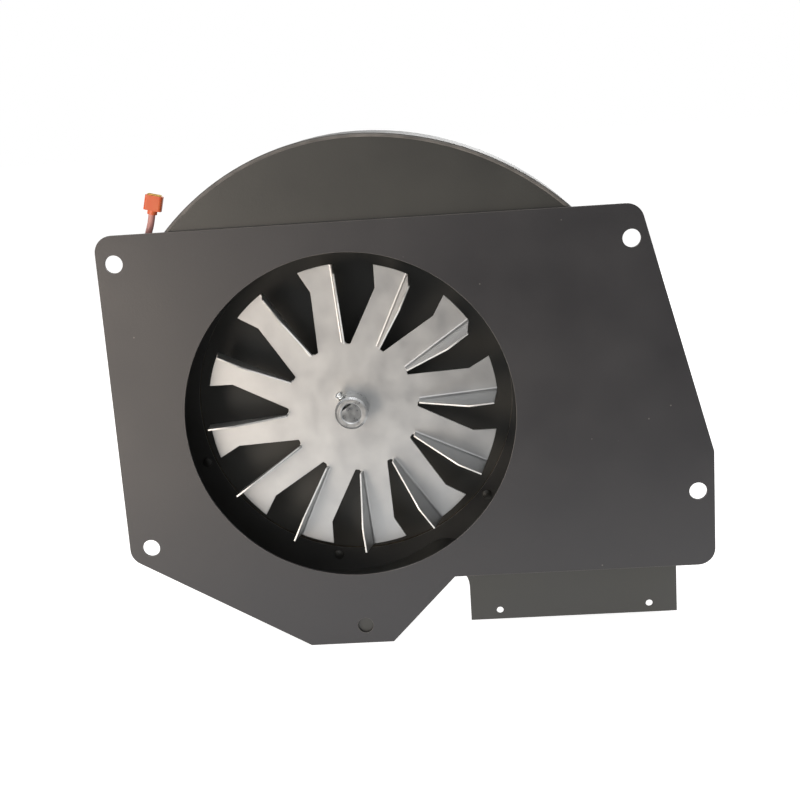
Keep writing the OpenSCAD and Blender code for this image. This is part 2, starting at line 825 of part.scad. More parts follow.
lead_faces = concat(
    [[for (k = [0 : lead_sides - 1]) k]],
    [for (i = [0 : len(lead_route) - 2]) for (k = [0 : lead_sides - 1])
        let (a = i * lead_sides + k, b = i * lead_sides + (k + 1) % lead_sides)
        each [[a, b + lead_sides, b], [a, a + lead_sides, b + lead_sides]]],
    [[for (k = [lead_sides - 1 : -1 : 0]) lead_last + k]]
);

module lead_wire() {
    color("#b8493f")
        polyhedron(points = lead_rings, faces = lead_faces);
}

// The terminal's frame: its length along the last stretch of the lead.
lead_end = lead_route[len(lead_route) - 1];
lead_end_t = tangent(lead_route, len(lead_route) - 1);
module at_terminal() {
    translate(lead_end)
        rotate([0, atan2(lead_end_t[0], lead_end_t[2]), 0])
            children();
}

sleeve_neck_l = 1.6;
sleeve_neck_wall = 0.6;
sleeve_neck_d = lead_d + 2 * sleeve_neck_wall;
sleeve_corner_r = 1.2;
module terminal_sleeve() {
    color("#d8502f")
        at_terminal()
            difference() {
                union() {
                    cylinder(d = sleeve_neck_d, h = sleeve_neck_l + eps);
                    translate([0, 0, sleeve_neck_l])
                        linear_extrude(sleeve_l - sleeve_neck_l)
                            polygon(rounded_rectangle(sleeve_w, sleeve_t, sleeve_corner_r));
                }
                translate([0, 0, sleeve_neck_l + sleeve_wall])
                    linear_extrude(sleeve_l)
                        square([sleeve_w - 2 * sleeve_wall, sleeve_t - 2 * sleeve_wall], center = true);
            }
}

terminal_sheet = 0.4;
module lead_terminal() {
    terminal_w = sleeve_w - 2 * (sleeve_wall + loose);
    terminal_t = sleeve_t - 2 * (sleeve_wall + loose);
    base_z = sleeve_neck_l + sleeve_wall;
    color("#c9a25a")
        at_terminal()
            translate([0, 0, base_z])
                linear_extrude(sleeve_l - base_z + terminal_out)
                    difference() {
                        square([terminal_w, terminal_t], center = true);
                        square([terminal_w, terminal_t] - 2 * terminal_sheet * [1, 1], center = true);
                    }
}

// Rotor: the shaft carries the squirrel-cage core, the impeller and the cooling fan.
module at_set_screw() {
    translate([0, hub_front_y + set_screw_in, 0])
        rotate([0, -set_screw_angle, 0])
            rotate([0, 90, 0])
                children();
}

module motor_shaft() {
    color("#b2b5b8")
        difference() {
            bar(shaft_front_y, shaft_back_y - shaft_front_y, shaft_d);
            rotate([0, -set_screw_angle, 0])
                translate([shaft_r - flat_depth, shaft_front_y - over, -shaft_d])
                    cube([shaft_d, flat_l + over, 2 * shaft_d]);
        }
}

module on_shaft_bore(y, l) {
    bar(y - eps, l + 2 * eps, shaft_d + 2 * snug);
}

module rotor_core() {
    color("#85888b")
        difference() {
            bar(stack_y, stack_l, rotor_d, fn = 96);
            on_shaft_bore(stack_y, stack_l);
        }
}

end_ring_step = 0.5;
end_ring_w = 6.5;
end_ring_outer_d = rotor_d - 2 * end_ring_step;
end_ring_inner_d = end_ring_outer_d - 2 * end_ring_w;
module rotor_end_rings() {
    color("#c0c3c6")
        for (y = [stack_y - end_ring_t, rear_leg_y])
            difference() {
                bar(y, end_ring_t, end_ring_outer_d);
                bar(y - eps, end_ring_t + 2 * eps, end_ring_inner_d);
            }
}

// Sleeves from the rotor core to the bearings; a little end play is left at each ball.
end_play = 0.3;
thrust_wall = 1.6;
thrust_d = shaft_d + 2 * thrust_wall;
module thrust_sleeves() {
    front_end_y = front_ball_y + ball_l + end_play;
    rear_end_y = rear_ball_y - end_play;
    color("#c8b98e")
        for (span = [[front_end_y, stack_y], [rear_leg_y, rear_end_y]])
            difference() {
                bar(span[0], span[1] - span[0], thrust_d);
                on_shaft_bore(span[0], span[1] - span[0]);
            }
}

// Impeller: one stamping. Each arm's flap is folded forward along the arm's clockwise edge.
impeller_r = impeller_d / 2;
arm_pitch = 360 / arm_count;
function arm_angle(i) = fold_angle + i * arm_pitch;
function turned(p, a) = [p[0] * cos(a) - p[1] * sin(a), p[0] * sin(a) + p[1] * cos(a)];

// In an arm's own frame X runs out along the fold line and the clockwise side is -Y.
// Its outline goes round the tip, back along the open side and across the notch to the next
// arm's fold, which the tip of that arm then ends.
tip_from = -asin(fold_off / impeller_r);
tip_to = asin((arm_tip_w - fold_off) / impeller_r);
fold_end = impeller_r * cos(tip_from);
arm_neck = [arm_neck_r, arm_neck_w - fold_off];
open_root = [arm_root_r - notch_step, arm_root_w - fold_off];
next_root = turned([arm_root_r, -fold_off], arm_pitch);
next_tip = turned([fold_end, -fold_off], arm_pitch);
arm_outline = concat(
    arc_points([0, 0], impeller_r, tip_from, tip_to, 6),
    [arm_neck],
    round_corner(arm_neck, open_root, next_root, notch_r, 3),
    round_corner(open_root, next_root, next_tip, notch_r, 3)
);
impeller_outline = [for (i = [0 : arm_count - 1]) for (p = arm_outline) turned(p, arm_angle(i))];

// A paddle stands a little in from the arm's edge, with its foot inside the sheet.
paddle_back_in = 0.35;
paddle_foot = impeller_t - paddle_back_in;
paddle_set_in = 0.2;
paddle_end_in = 0.2;
paddle_root_in = 0.6;
paddle_shoulder = 0.6;
paddle_shape = [
    [arm_root_r + paddle_root_in, paddle_foot], [arm_root_r + paddle_root_in, -paddle_root_h],
    [paddle_neck_r, -paddle_neck_h], [fold_end - paddle_tip_in, -paddle_tip_h],
    [fold_end - paddle_end_in, -paddle_shoulder], [fold_end - paddle_end_in, paddle_foot]
];

module impeller() {
    color("#c3c6c8") {
        slab(disc_y, impeller_t)
            difference() {
                polygon(impeller_outline);
                circle(r = hub_neck_r + snug);
            }
        for (i = [0 : arm_count - 1])
            rotate([0, -arm_angle(i), 0])
                translate([0, disc_y, paddle_set_in - fold_off])
                    rotate([paddle_lean, 0, 0])
                        linear_extrude(impeller_t)
                            polygon(paddle_shape);
    }
}

// Hub, turned in one piece: chamfered nose, a neck through the sheet, and a flange behind it.
// The profile runs from the bore out, with its length backwards from the front end.
hub_bore_r = shaft_r + snug;
hub_nose_r = hub_nose_d / 2;
hub_neck_r = hub_nose_r - hub_neck_step;
hub_l = hub_nose_l + impeller_t + hub_flange_t;
hub_flange_r = hub_flange_d / 2;
hub_profile = [
    [hub_bore_r, 0], [hub_nose_r - hub_chamfer, 0], [hub_nose_r, hub_chamfer], [hub_nose_r, hub_nose_l],
    [hub_neck_r, hub_nose_l], [hub_neck_r, hub_l - hub_flange_t], [hub_flange_r, hub_l - hub_flange_t],
    [hub_flange_r, hub_l], [hub_bore_r, hub_l]
];
module impeller_hub() {
    color("#aeb1b4")
        difference() {
            translate([0, hub_front_y, 0])
                rotate([-90, 0, 0])
                    rotate_extrude($fn = 64)
                        polygon(hub_profile);
            at_set_screw()
                cylinder(d = set_screw_d + 2 * snug, h = hub_nose_d);
        }
}

socket_af = 2;
socket_depth = 2;
module hub_set_screw() {
    seat_r = shaft_r - flat_depth + snug;
    color("#d5d7d8")
        at_set_screw()
            difference() {
                translate([0, 0, seat_r])
                    cylinder(d = set_screw_d, h = set_screw_reach - seat_r);
                translate([0, 0, set_screw_reach - socket_depth])
                    cylinder(d = socket_af / cos(30), h = socket_depth + over, $fn = 6);
            }
}

// Cooling fan: flat pitched blades on a hub, held by a push-on nut.
module cooling_fan() {
    color("#2c2d2f")
        difference() {
            union() {
                bar(fan_hub_y, fan_hub_l, fan_hub_d);
                for (i = [0 : fan_blade_count - 1])
                    rotate([0, i * 360 / fan_blade_count, 0])
                        translate([0, fan_mid_y, 0])
                            rotate([fan_pitch, 0, 0])
                                translate([0, fan_blade_t / 2, 0])
                                    rotate([90, 0, 0])
                                        linear_extrude(fan_blade_t)
                                            fan_blade_shape();
            }
            on_shaft_bore(fan_hub_y, fan_hub_l);
        }
}

module fan_blade_shape() {
    tip_r = 5;
    root_sunk = 1.5;
    root_r = fan_hub_d / 2 - root_sunk;
    polygon(concat(
        [[root_r, -fan_hub_d / 4]],
        arc_points([fan_d / 2 - tip_r, -fan_blade_w / 2 + tip_r], tip_r, -90, 0, 6),
        arc_points([fan_d / 2 - tip_r, fan_blade_w / 2 - tip_r], tip_r, 0, 90, 6),
        [[root_r, fan_hub_d / 4]]
    ));
}

module fan_push_nut() {
    color("#b9bcc0")
        difference() {
            bar(fan_hub_y + fan_hub_l, push_nut_t, push_nut_d);
            on_shaft_bore(fan_hub_y + fan_hub_l, push_nut_t);
        }
}

mounting_plate();
scroll_front_wall();
scroll_wrapper();
scroll_back_wall();
motor_gasket();
motor_plate();
motor_plate_screws();
motor_studs();
standoff_sleeves();
stud_nuts();
front_bracket();
rear_bracket();
front_bearing();
rear_bearing();
bearing_retainers();
stator_core();
coil_bar();
core_rivets();
shading_rings();
coil_bobbin();
coil_winding();
coil_tape();
spare_terminal_blade();
lead_wire();
lead_terminal();
terminal_sleeve();
motor_shaft();
rotor_core();
rotor_end_rings();
thrust_sleeves();
impeller();
impeller_hub();
hub_set_screw();
cooling_fan();
fan_push_nut();
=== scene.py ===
import math
from contextlib import contextmanager

import bmesh
import bpy
from mathutils import Matrix, Vector


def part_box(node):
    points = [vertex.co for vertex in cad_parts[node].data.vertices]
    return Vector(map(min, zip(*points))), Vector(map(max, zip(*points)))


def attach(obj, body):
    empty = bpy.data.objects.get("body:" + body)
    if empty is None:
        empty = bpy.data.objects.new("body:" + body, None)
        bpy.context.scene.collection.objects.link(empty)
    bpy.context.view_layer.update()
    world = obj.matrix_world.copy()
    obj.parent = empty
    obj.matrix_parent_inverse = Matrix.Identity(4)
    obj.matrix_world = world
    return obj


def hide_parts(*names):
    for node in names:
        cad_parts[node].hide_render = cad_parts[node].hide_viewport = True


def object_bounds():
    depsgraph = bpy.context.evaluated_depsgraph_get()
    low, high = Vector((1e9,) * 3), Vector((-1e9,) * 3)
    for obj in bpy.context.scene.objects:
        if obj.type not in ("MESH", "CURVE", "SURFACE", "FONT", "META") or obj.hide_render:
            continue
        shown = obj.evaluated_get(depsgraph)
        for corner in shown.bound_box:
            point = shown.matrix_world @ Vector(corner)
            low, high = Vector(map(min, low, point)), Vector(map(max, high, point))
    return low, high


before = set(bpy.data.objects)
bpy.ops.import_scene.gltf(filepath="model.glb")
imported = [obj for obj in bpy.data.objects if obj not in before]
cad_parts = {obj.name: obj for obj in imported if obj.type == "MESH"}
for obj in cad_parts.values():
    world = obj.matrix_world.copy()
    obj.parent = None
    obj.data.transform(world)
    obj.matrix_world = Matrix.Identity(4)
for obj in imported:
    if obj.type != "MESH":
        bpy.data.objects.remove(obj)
CAD_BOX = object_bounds()
bpy.ops.object.select_all(action="DESELECT")

MM = 0.001
QUARTER = math.pi / 2
# Points this near each other are one point: in a copy of a solid, and in what is modelled here.
SOLID_WELD = 0.001 * MM
WELD = 0.01 * MM
# Faces of a copied solid that bend less than this are one flat face.
FLAT_WITHIN = math.radians(0.5)
# Edges that bend more than this many degrees stay sharp.
SHARP = 35

# The camera: solved from the plate's edges, its holes and the round inlet.
CAMERA_PLACE = Vector((0.0481, -0.5142, 0.1281))
CAMERA_RIGHT = Vector((0.9971, 0.0368, -0.0663))
CAMERA_UP = Vector((0.056, 0.2326, 0.971))
FOCAL_PIXELS = 1300
IMAGE_PIXELS = 800
SENSOR = 36.0

# The lead, from the boss on the bobbin to its terminal, in millimetres as in the part's source.
LEAD_ROUTE = [
    (-73, 82, 29), (-73, 82, 34), (-73, 81, 39), (-74, 78, 45), (-75, 73, 51), (-77, 67, 57),
    (-79, 60, 62), (-81, 53, 66), (-82, 45, 68), (-81, 37, 69), (-80.5, 29, 69), (-80, 22, 69.5),
    (-79.5, 16, 71), (-78, 11, 74.5), (-76.5, 8.5, 79), (-75, 8, 83), (-74, 8, 87),
]
LEAD_D = 2.8 * MM


# Tools for flat outlines

def turned(point, degrees):
    """A flat point turned about the origin."""
    angle = math.radians(degrees)
    u, v = point
    return (u * math.cos(angle) - v * math.sin(angle), u * math.sin(angle) + v * math.cos(angle))


def arc(centre, r, start, end, steps):
    """Points on an arc, first to last, in degrees."""
    angles = [math.radians(start + (end - start) * i / steps) for i in range(steps + 1)]
    return [(centre[0] + r * math.cos(a), centre[1] + r * math.sin(a)) for a in angles]


def rounded(before, corner, after, r, steps=4):
    """A corner of an outline, rounded, between the points before and after it."""
    corner = Vector(corner)
    a = (Vector(before) - corner).normalized()
    b = (Vector(after) - corner).normalized()
    half = a.angle(b) / 2
    centre = corner + (a + b).normalized() * r / math.sin(half)
    start = corner + a * r / math.tan(half) - centre
    end = corner + b * r / math.tan(half) - centre
    first = math.degrees(math.atan2(start.y, start.x))
    turn = math.degrees(math.atan2(start.x * end.y - start.y * end.x, start.dot(end)))
    return arc(centre, r, first, first + turn, steps)


# Tools for modelling

def select_only(piece):
    bpy.ops.object.select_all(action="DESELECT")
    bpy.context.view_layer.objects.active = piece
    piece.select_set(True)


@contextmanager
def editing(piece):
    """Edit mode on one piece alone, with all of it selected."""
    select_only(piece)
    bpy.ops.object.mode_set(mode="EDIT")
    bpy.ops.mesh.select_all(action="SELECT")
    yield bmesh.from_edit_mesh(piece.data)
    bpy.ops.object.mode_set(mode="OBJECT")


def apply(piece, kind, **settings):
    """Adds a modifier with these settings and applies it."""
    modifier = piece.modifiers.new(kind.lower(), kind)
    for name, value in settings.items():
        setattr(modifier, name, value)
    bpy.context.view_layer.objects.active = piece
    bpy.ops.object.modifier_apply(modifier=modifier.name)


def discard(piece):
    bpy.data.objects.remove(piece)


def smooth(piece, degrees=SHARP):
    """Smooth shading that keeps sharp edges sharp and large faces flat."""
    select_only(piece)
    bpy.ops.object.shade_smooth_by_angle(angle=math.radians(degrees))
    apply(piece, "WEIGHTED_NORMAL", keep_sharp=True)


def soften(piece, width, segments=2, edge_slot=-1, degrees=SHARP):
    """Breaks the sharp edges by a small width, with the edges' own material if one is given."""
    apply(piece, "BEVEL", width=width, segments=segments, limit_method="ANGLE",
          angle_limit=math.radians(degrees), material=edge_slot)
    smooth(piece, degrees)


def named(name, materials):
    """Names the piece that was just added and gives it its materials."""
    piece = bpy.context.object
    piece.name = name
    piece.data.materials.clear()
    for material in materials:
        piece.data.materials.append(material)
    return piece


def cad_copy(node, name, *materials):
    """A merged copy of a solid's mesh, with the flat triangles dissolved."""
    piece = bpy.data.objects.new(name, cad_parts[node].data.copy())
    bpy.context.scene.collection.objects.link(piece)
    bpy.context.view_layer.objects.active = piece
    named(name, materials)
    with editing(piece):
        bpy.ops.mesh.customdata_custom_splitnormals_clear()
        bpy.ops.mesh.remove_doubles(threshold=SOLID_WELD)
        bpy.ops.mesh.dissolve_limited(angle_limit=FLAT_WITHIN)
    return piece


def outline_face(name, points, *materials):
    """A flat face whose corners are these points."""
    bpy.ops.mesh.primitive_circle_add(vertices=len(points), fill_type="NGON")
    piece = named(name, materials)
    for vertex, point in zip(piece.data.vertices, points):
        vertex.co = point
    return piece


def shaped_grid(name, columns, rows, place, *materials):
    """A grid of quads whose points are placed by their column and row."""
    bpy.ops.mesh.primitive_grid_add(x_subdivisions=columns - 1, y_subdivisions=rows - 1)
    piece = named(name, materials)
    for index, vertex in enumerate(piece.data.vertices):
        vertex.co = place(index % columns, index // columns)
    return piece


def lathe(name, profile, *materials, steps=48):
    """A closed profile of radius and Y, in millimetres, turned about the shaft's axis."""
    points = [(r * MM, y * MM, 0) for r, y in profile]
    bpy.ops.mesh.primitive_circle_add(vertices=len(points), fill_type="NOTHING")
    piece = named(name, materials)
    for vertex, point in zip(piece.data.vertices, points):
        vertex.co = point
    with editing(piece):
        bpy.ops.mesh.spin(steps=steps, angle=2 * math.pi, center=(0, 0, 0), axis=(0, 1, 0))
        bpy.ops.mesh.select_all(action="SELECT")
        bpy.ops.mesh.remove_doubles(threshold=WELD)
        bpy.ops.mesh.delete_loose()
        bpy.ops.mesh.select_all(action="SELECT")
        bpy.ops.mesh.normals_make_consistent(inside=False)
    return piece


def join(*pieces):
    """Joins pieces into the first one."""
    bpy.ops.object.select_all(action="DESELECT")
    for piece in pieces:
        piece.select_set(True)
    bpy.context.view_layer.objects.active = pieces[0]
    bpy.ops.object.join()
    return pieces[0]


def repeat(piece, moves):
    """Copies a piece by each move and joins the copies to one piece of the same name."""
    name = piece.name
    copies = []
    for move in moves:
        copy = piece.copy()
        copy.data = piece.data.copy()
        copy.data.transform(move)
        bpy.context.scene.collection.objects.link(copy)
        copies.append(copy)
    discard(piece)
    whole = join(*copies)
    whole.name = name
    return whole


def cut(piece, tool, operation="DIFFERENCE"):
    """Cuts a piece with a tool, or keeps what both share, and takes the tool away."""
    apply(piece, "BOOLEAN", operation=operation, object=tool, solver="EXACT")
    discard(tool)


def hexagon(name, flats, start, end, *materials):
    """A hexagon bar along Y, from start to end, in millimetres."""
    bpy.ops.mesh.primitive_cylinder_add(vertices=6, radius=flats / 2 / math.cos(math.pi / 6) * MM,
                                        depth=(end - start) * MM, rotation=(QUARTER, 0, 0),
                                        location=(0, (start + end) / 2 * MM, 0))
    bpy.ops.object.transform_apply(location=True, rotation=True)
    return named(name, materials)


def seat(piece, body, slot, *nodes):
    """Puts a finished piece on its body, in place of the solids that it stands for."""
    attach(piece, body)
    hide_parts(*nodes)


def dress(node, material):
    """Gives a solid that stays as it is a finished material."""
    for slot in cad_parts[node].material_slots:
        slot.material = material


# Tools for materials

def srgb(code):
    """A colour written as sRGB hex, as linear red, green, blue and alpha."""
    parts = [int(code[i:i + 2], 16) / 255 for i in (1, 3, 5)]
    return [c / 12.92 if c <= 0.04045 else ((c + 0.055) / 1.055) ** 2.4 for c in parts] + [1.0]


def per(size_mm):
    """The texture scale whose pattern is about this many millimetres wide."""
    return 1 / (size_mm * MM)


def add(tree, kind, inputs, **settings):
    """Adds a shader node with its settings; an input is a value or the socket that feeds it."""
    node = tree.nodes.new("ShaderNode" + kind)
    for name, value in settings.items():
        setattr(node, name, value)
    for name, value in inputs.items():
        if isinstance(value, bpy.types.NodeSocket):
            tree.links.new(value, node.inputs[name])
        else:
            node.inputs[name].default_value = value
    return node


def surface(name, constants):
    """A new material: itself, its tree, its Principled shader and the object's coordinates."""
    material = bpy.data.materials.new(name)
    material.use_nodes = True
    tree = material.node_tree
    shader = tree.nodes["Principled BSDF"]
    for socket, value in constants.items():
        shader.inputs[socket].default_value = value
    place = add(tree, "TexCoord", {}).outputs["Object"]
    return material, tree, shader, place


# Noise stays mostly between these values, which are stretched to the whole range.
NOISE_LOW, NOISE_HIGH = 0.3, 0.7


def clouded(tree, shader, place, patch_mm, tones, roughness):
    """Cloudy patches between two tones and two roughnesses; returns the colour."""
    dark, light = tones
    clouds = add(tree, "TexNoise", {"Vector": place, "Scale": per(patch_mm), "Detail": 4.0}).outputs[0]
    spread = add(tree, "MapRange", {0: clouds, 1: NOISE_LOW, 2: NOISE_HIGH}).outputs[0]
    tone = add(tree, "Mix", {0: spread, 6: srgb(dark), 7: srgb(light)}, data_type="RGBA").outputs[2]
    gloss = add(tree, "MapRange", {0: spread, 3: roughness[0], 4: roughness[1]}).outputs[0]
    tree.links.new(tone, shader.inputs["Base Color"])
    tree.links.new(gloss, shader.inputs["Roughness"])
    return tone


def grained(tree, shader, place, size_mm, depth_mm, stretch=(1.0, 1.0, 1.0)):
    """A fine relief of a real width and depth, drawn out along the axes with a small stretch value."""
    drawn = add(tree, "Mapping", {"Vector": place, "Scale": stretch}).outputs[0]
    height = add(tree, "TexNoise", {"Vector": drawn, "Scale": per(size_mm), "Detail": 3.0}).outputs[0]
    relief = add(tree, "Bump", {"Height": height, "Distance": depth_mm * MM, "Strength": 1.0})
    tree.links.new(relief.outputs["Normal"], shader.inputs["Normal"])


# Materials

DUST_CELL_MM = 8
DUST_CORE, DUST_EDGE = 0.02, 0.05
DUST_CLEAN_SHARE = 0.72
DUST_TONE = "#7d7a76"


def satin_paint(name, tones):
    """Baked satin enamel on sheet steel: charcoal, cloudy, with orange peel and a few dust specks."""
    material, tree, shader, place = surface(name, {"IOR": 1.5, "Specular IOR Level": 0.85})
    tone = clouded(tree, shader, place, patch_mm=34, tones=tones, roughness=(0.44, 0.54))
    dust = add(tree, "TexVoronoi", {"Vector": place, "Scale": per(DUST_CELL_MM)})
    near = add(tree, "MapRange", {0: dust.outputs["Distance"], 1: DUST_CORE, 2: DUST_EDGE, 3: 1.0, 4: 0.0})
    chosen = add(tree, "Math", {0: dust.outputs["Color"], 1: DUST_CLEAN_SHARE}, operation="GREATER_THAN")
    speck = add(tree, "Math", {0: near.outputs[0], 1: chosen.outputs[0]}, operation="MULTIPLY").outputs[0]
    dusty = add(tree, "Mix", {0: speck, 6: tone, 7: srgb(DUST_TONE)}, data_type="RGBA").outputs[2]
    tree.links.new(dusty, shader.inputs["Base Color"])
    grained(tree, shader, place, size_mm=1.1, depth_mm=0.03)
    return material


def worn_and_highlit_edge(name):
    """The same enamel on the broken edges, lighter and smoother: partly paint run thin over the sheared
    edge, partly a painted highlight where the edges catch light.
    """
    material, tree, shader, place = surface(name, {"IOR": 1.5})
    clouded(tree, shader, place, patch_mm=9, tones=("#62605e", "#8a8784"), roughness=(0.4, 0.5))
    return material


def aluminised_steel(name):
    """Hot-dip aluminised sheet: light grey, soft sheen, faint spangle and rolling lines."""
    material, tree, shader, place = surface(name, {"Metallic": 1.0})
    clouded(tree, shader, place, patch_mm=9, tones=("#c0c1c2", "#cacbcb"), roughness=(0.39, 0.47))
    rolled_along_z = (1.0, 1.0, 0.25)
    grained(tree, shader, place, size_mm=0.7, depth_mm=0.012, stretch=rolled_along_z)
    return material


def sheared_steel(name):
    """The sheet's cut edge: bare bright metal, with the fine lines of the die across it."""
    material, tree, shader, place = surface(name, {"Metallic": 0.85})
    clouded(tree, shader, place, patch_mm=2, tones=("#d6d6d4", "#e8e8e6"), roughness=(0.36, 0.46))
    drawn_along_y = (1.0, 0.1, 1.0)
    grained(tree, shader, place, size_mm=0.4, depth_mm=0.01, stretch=drawn_along_y)
    return material


RING_DEPTH_MM = 0.03


def turned_steel(name, tones, ring_mm):
    """Steel off the lathe: rings round the shaft's axis on every face."""
    material, tree, shader, place = surface(name, {"Metallic": 1.0})
    clouded(tree, shader, place, patch_mm=3, tones=tones, roughness=(0.24, 0.38))
    flat = add(tree, "VectorMath", {0: place, 1: (1.0, 0.0, 1.0)}, operation="MULTIPLY").outputs[0]
    radius = add(tree, "VectorMath", {0: flat}, operation="LENGTH").outputs["Value"]
    along = add(tree, "SeparateXYZ", {"Vector": place}).outputs["Y"]
    feed = add(tree, "Math", {0: radius, 1: along}, operation="ADD").outputs[0]
    cuts = {"W": feed, "Scale": per(ring_mm), "Detail": 2.0}
    rings = add(tree, "TexNoise", cuts, noise_dimensions="1D").outputs[0]
    relief = add(tree, "Bump", {"Height": rings, "Distance": RING_DEPTH_MM * MM, "Strength": 1.0})
    tree.links.new(relief.outputs["Normal"], shader.inputs["Normal"])
    return material


def plain_metal(name, tones, patch_mm, grain_mm, depth_mm, roughness, metallic=1.0):
    """A metal whose finish is cloudy patches over a fine grain."""
    material, tree, shader, place = surface(name, {"Metallic": metallic})
    clouded(tree, shader, place, patch_mm, tones, roughness)
    grained(tree, shader, place, grain_mm, depth_mm)
    return material


MOTTLE_MM = 11


def moulded(name, tones, grain_mm, depth_mm, roughness, translucent=0.0):
    """A moulded plastic: a little mottled, with the mould's fine texture."""
    constants = {"IOR": 1.49, "Subsurface Weight": translucent, "Subsurface Scale": MM}
    material, tree, shader, place = surface(name, constants)
    clouded(tree, shader, place, MOTTLE_MM, tones, roughness)
    grained(tree, shader, place, grain_mm, depth_mm)
    return material


def fibre_board(name):
    """Pressed gasket fibre: dull grey-brown with short pale fibres."""
    material, tree, shader, place = surface(name, {"IOR": 1.4, "Specular IOR Level": 0.2})
    clouded(tree, shader, place, patch_mm=5, tones=("#4a443a", "#6a6253"), roughness=(0.8, 0.95))
    drawn_fibres = (1.0, 0.3, 0.3)
    grained(tree, shader, place, size_mm=0.8, depth_mm=0.08, stretch=drawn_fibres)
    return material


plate_paint = satin_paint("satin_black_enamel_plate", ("#27262a", "#302f32"))
housing_paint = satin_paint("satin_black_enamel_housing", ("#2e2e2b", "#373733"))
# A darker copy of the housing enamel for the inside of the scroll: painted shade.
shade_darkened_inner_paint = satin_paint("satin_black_enamel_inside_painted_shade", ("#20201f", "#292927"))
# Lighter enamel for the broken edges and the rolled rim: partly paint worn thin, partly a painted
# highlight.
paint_edge_wear_and_highlight = worn_and_highlit_edge("enamel_worn_edge_and_highlight")
sheet = aluminised_steel("aluminised_steel_sheet")
sheet_edge = sheared_steel("sheared_steel_edge")
# The hub's steel is lighter than the shaft's to stand in for the light on its chamfers: painted highlight.
hub_steel = turned_steel("turned_steel_hub", ("#bcbec0", "#d6d7d7"), 0.3)
shaft_steel = turned_steel("ground_steel_shaft", ("#9b9ea1", "#b9bcbe"), 0.6)
# Bright zinc plate over rolled steel: pale, with a faint blue and straw bloom.
zinc = plain_metal("zinc_plated_steel", ("#aeb4bb", "#c9c6b8"), patch_mm=4, grain_mm=0.5, depth_mm=0.01,
                   roughness=(0.26, 0.4))
# The set screw's zinc is painted lighter than the other zinc, a painted glint, and its plate is smoother,
# so that it glints.
glint_painted_zinc = plain_metal("zinc_set_screw_painted_glint", ("#e3e6e8", "#f3f1ea"), patch_mm=4, grain_mm=0.5,
                          depth_mm=0.01, roughness=(0.16, 0.26))
# Pressure die casting: dull grey skin with flow marks and a fine sand texture.
die_cast = plain_metal("die_cast_zinc", ("#7f8183", "#97989a"), patch_mm=8, grain_mm=0.9, depth_mm=0.06,
                       roughness=(0.42, 0.58), metallic=0.85)
# Oil-soaked sintered bronze: brown and open-pored.
bronze = plain_metal("sintered_bronze", ("#7a5a33", "#9c7644"), patch_mm=2, grain_mm=0.5, depth_mm=0.04,
                     roughness=(0.35, 0.5))
# Black oxide over steel, with a film of oil.
black_oxide = plain_metal("black_oxide_steel", ("#2a2a28", "#353532"), patch_mm=4, grain_mm=0.5,
                          depth_mm=0.01, roughness=(0.4, 0.5), metallic=0.2)
# Bright rolled spring steel: even grey with a clean sheen.
spring = plain_metal("spring_steel", ("#8d8f92", "#a9abad"), patch_mm=5, grain_mm=0.4, depth_mm=0.01,
                     roughness=(0.24, 0.36))
# Silicon-steel sheets under a thin baked varnish: grey with brown blushes.
lamination = plain_metal("varnished_lamination_steel", ("#4d4a47", "#6f7275"), patch_mm=6, grain_mm=0.7,
                         depth_mm=0.02, roughness=(0.38, 0.55), metallic=0.75)
# Drawn copper, dulled in places by its own oxide.
copper = plain_metal("drawn_copper", ("#9a5836", "#bf7a52"), patch_mm=5, grain_mm=0.5, depth_mm=0.015,
                     roughness=(0.26, 0.42))
# Stamped brass: warm and bright, a little tarnished.
brass = plain_metal("stamped_brass", ("#b08f4d", "#cfb272"), patch_mm=4, grain_mm=0.4, depth_mm=0.01,
                    roughness=(0.24, 0.36))
# Aluminium cast on the rotor: pale, with a rough skin.
aluminium = plain_metal("cast_aluminium", ("#a3a6a9", "#bfc1c3"), patch_mm=6, grain_mm=0.8, depth_mm=0.05,
                        roughness=(0.36, 0.52))
# Unfilled nylon: milky, waxy, lets a little light in.
nylon = moulded("natural_nylon", ("#cdc6b0", "#ddd7c4"), grain_mm=0.8, depth_mm=0.015,
                roughness=(0.38, 0.5), translucent=0.15)
# The same nylon, stained by oil.
thrust = moulded("oiled_nylon", ("#a2936a", "#b9aa80"), grain_mm=0.6, depth_mm=0.015,
                 roughness=(0.35, 0.45))
# Polyester film tape: amber and smooth, with a low gloss.
film = moulded("polyester_film_tape", ("#b8923a", "#cfa94e"), grain_mm=2.5, depth_mm=0.02,
               roughness=(0.22, 0.32))
# Extruded vinyl over the lead: pale red with a satin skin.
lead_vinyl = moulded("extruded_vinyl_lead", ("#e2a09a", "#efb6b0"), grain_mm=0.8, depth_mm=0.02,
                     roughness=(0.4, 0.5))
# Dip-moulded vinyl of the terminal's sleeve: orange, glossier, lets a little light in.
sleeve_vinyl = moulded("dipped_vinyl_sleeve", ("#f26d42", "#fe8c60"), grain_mm=1.2, depth_mm=0.02,
                       roughness=(0.3, 0.4), translucent=0.2)
# Black polypropylene: dark, waxy, with the mould's fine grain.
fan_plastic = moulded("moulded_black_polypropylene", ("#1d1d1f", "#29292b"), grain_mm=0.9, depth_mm=0.025,
                      roughness=(0.4, 0.52))
fibre = fibre_board("pressed_gasket_fibre")


# Camera

def add_camera():
    """The photograph's camera, from where it stands and how it is turned."""
    back = CAMERA_RIGHT.cross(CAMERA_UP)
    turn = Matrix((CAMERA_RIGHT, CAMERA_UP, back)).transposed().to_4x4()
    bpy.ops.object.camera_add()
    camera = bpy.context.object
    camera.matrix_world = Matrix.Translation(CAMERA_PLACE) @ turn
    camera.data.sensor_width = SENSOR
    camera.data.lens = SENSOR * FOCAL_PIXELS / IMAGE_PIXELS
    bpy.context.scene.camera = camera


add_camera()


# Lead with its terminal and sleeve

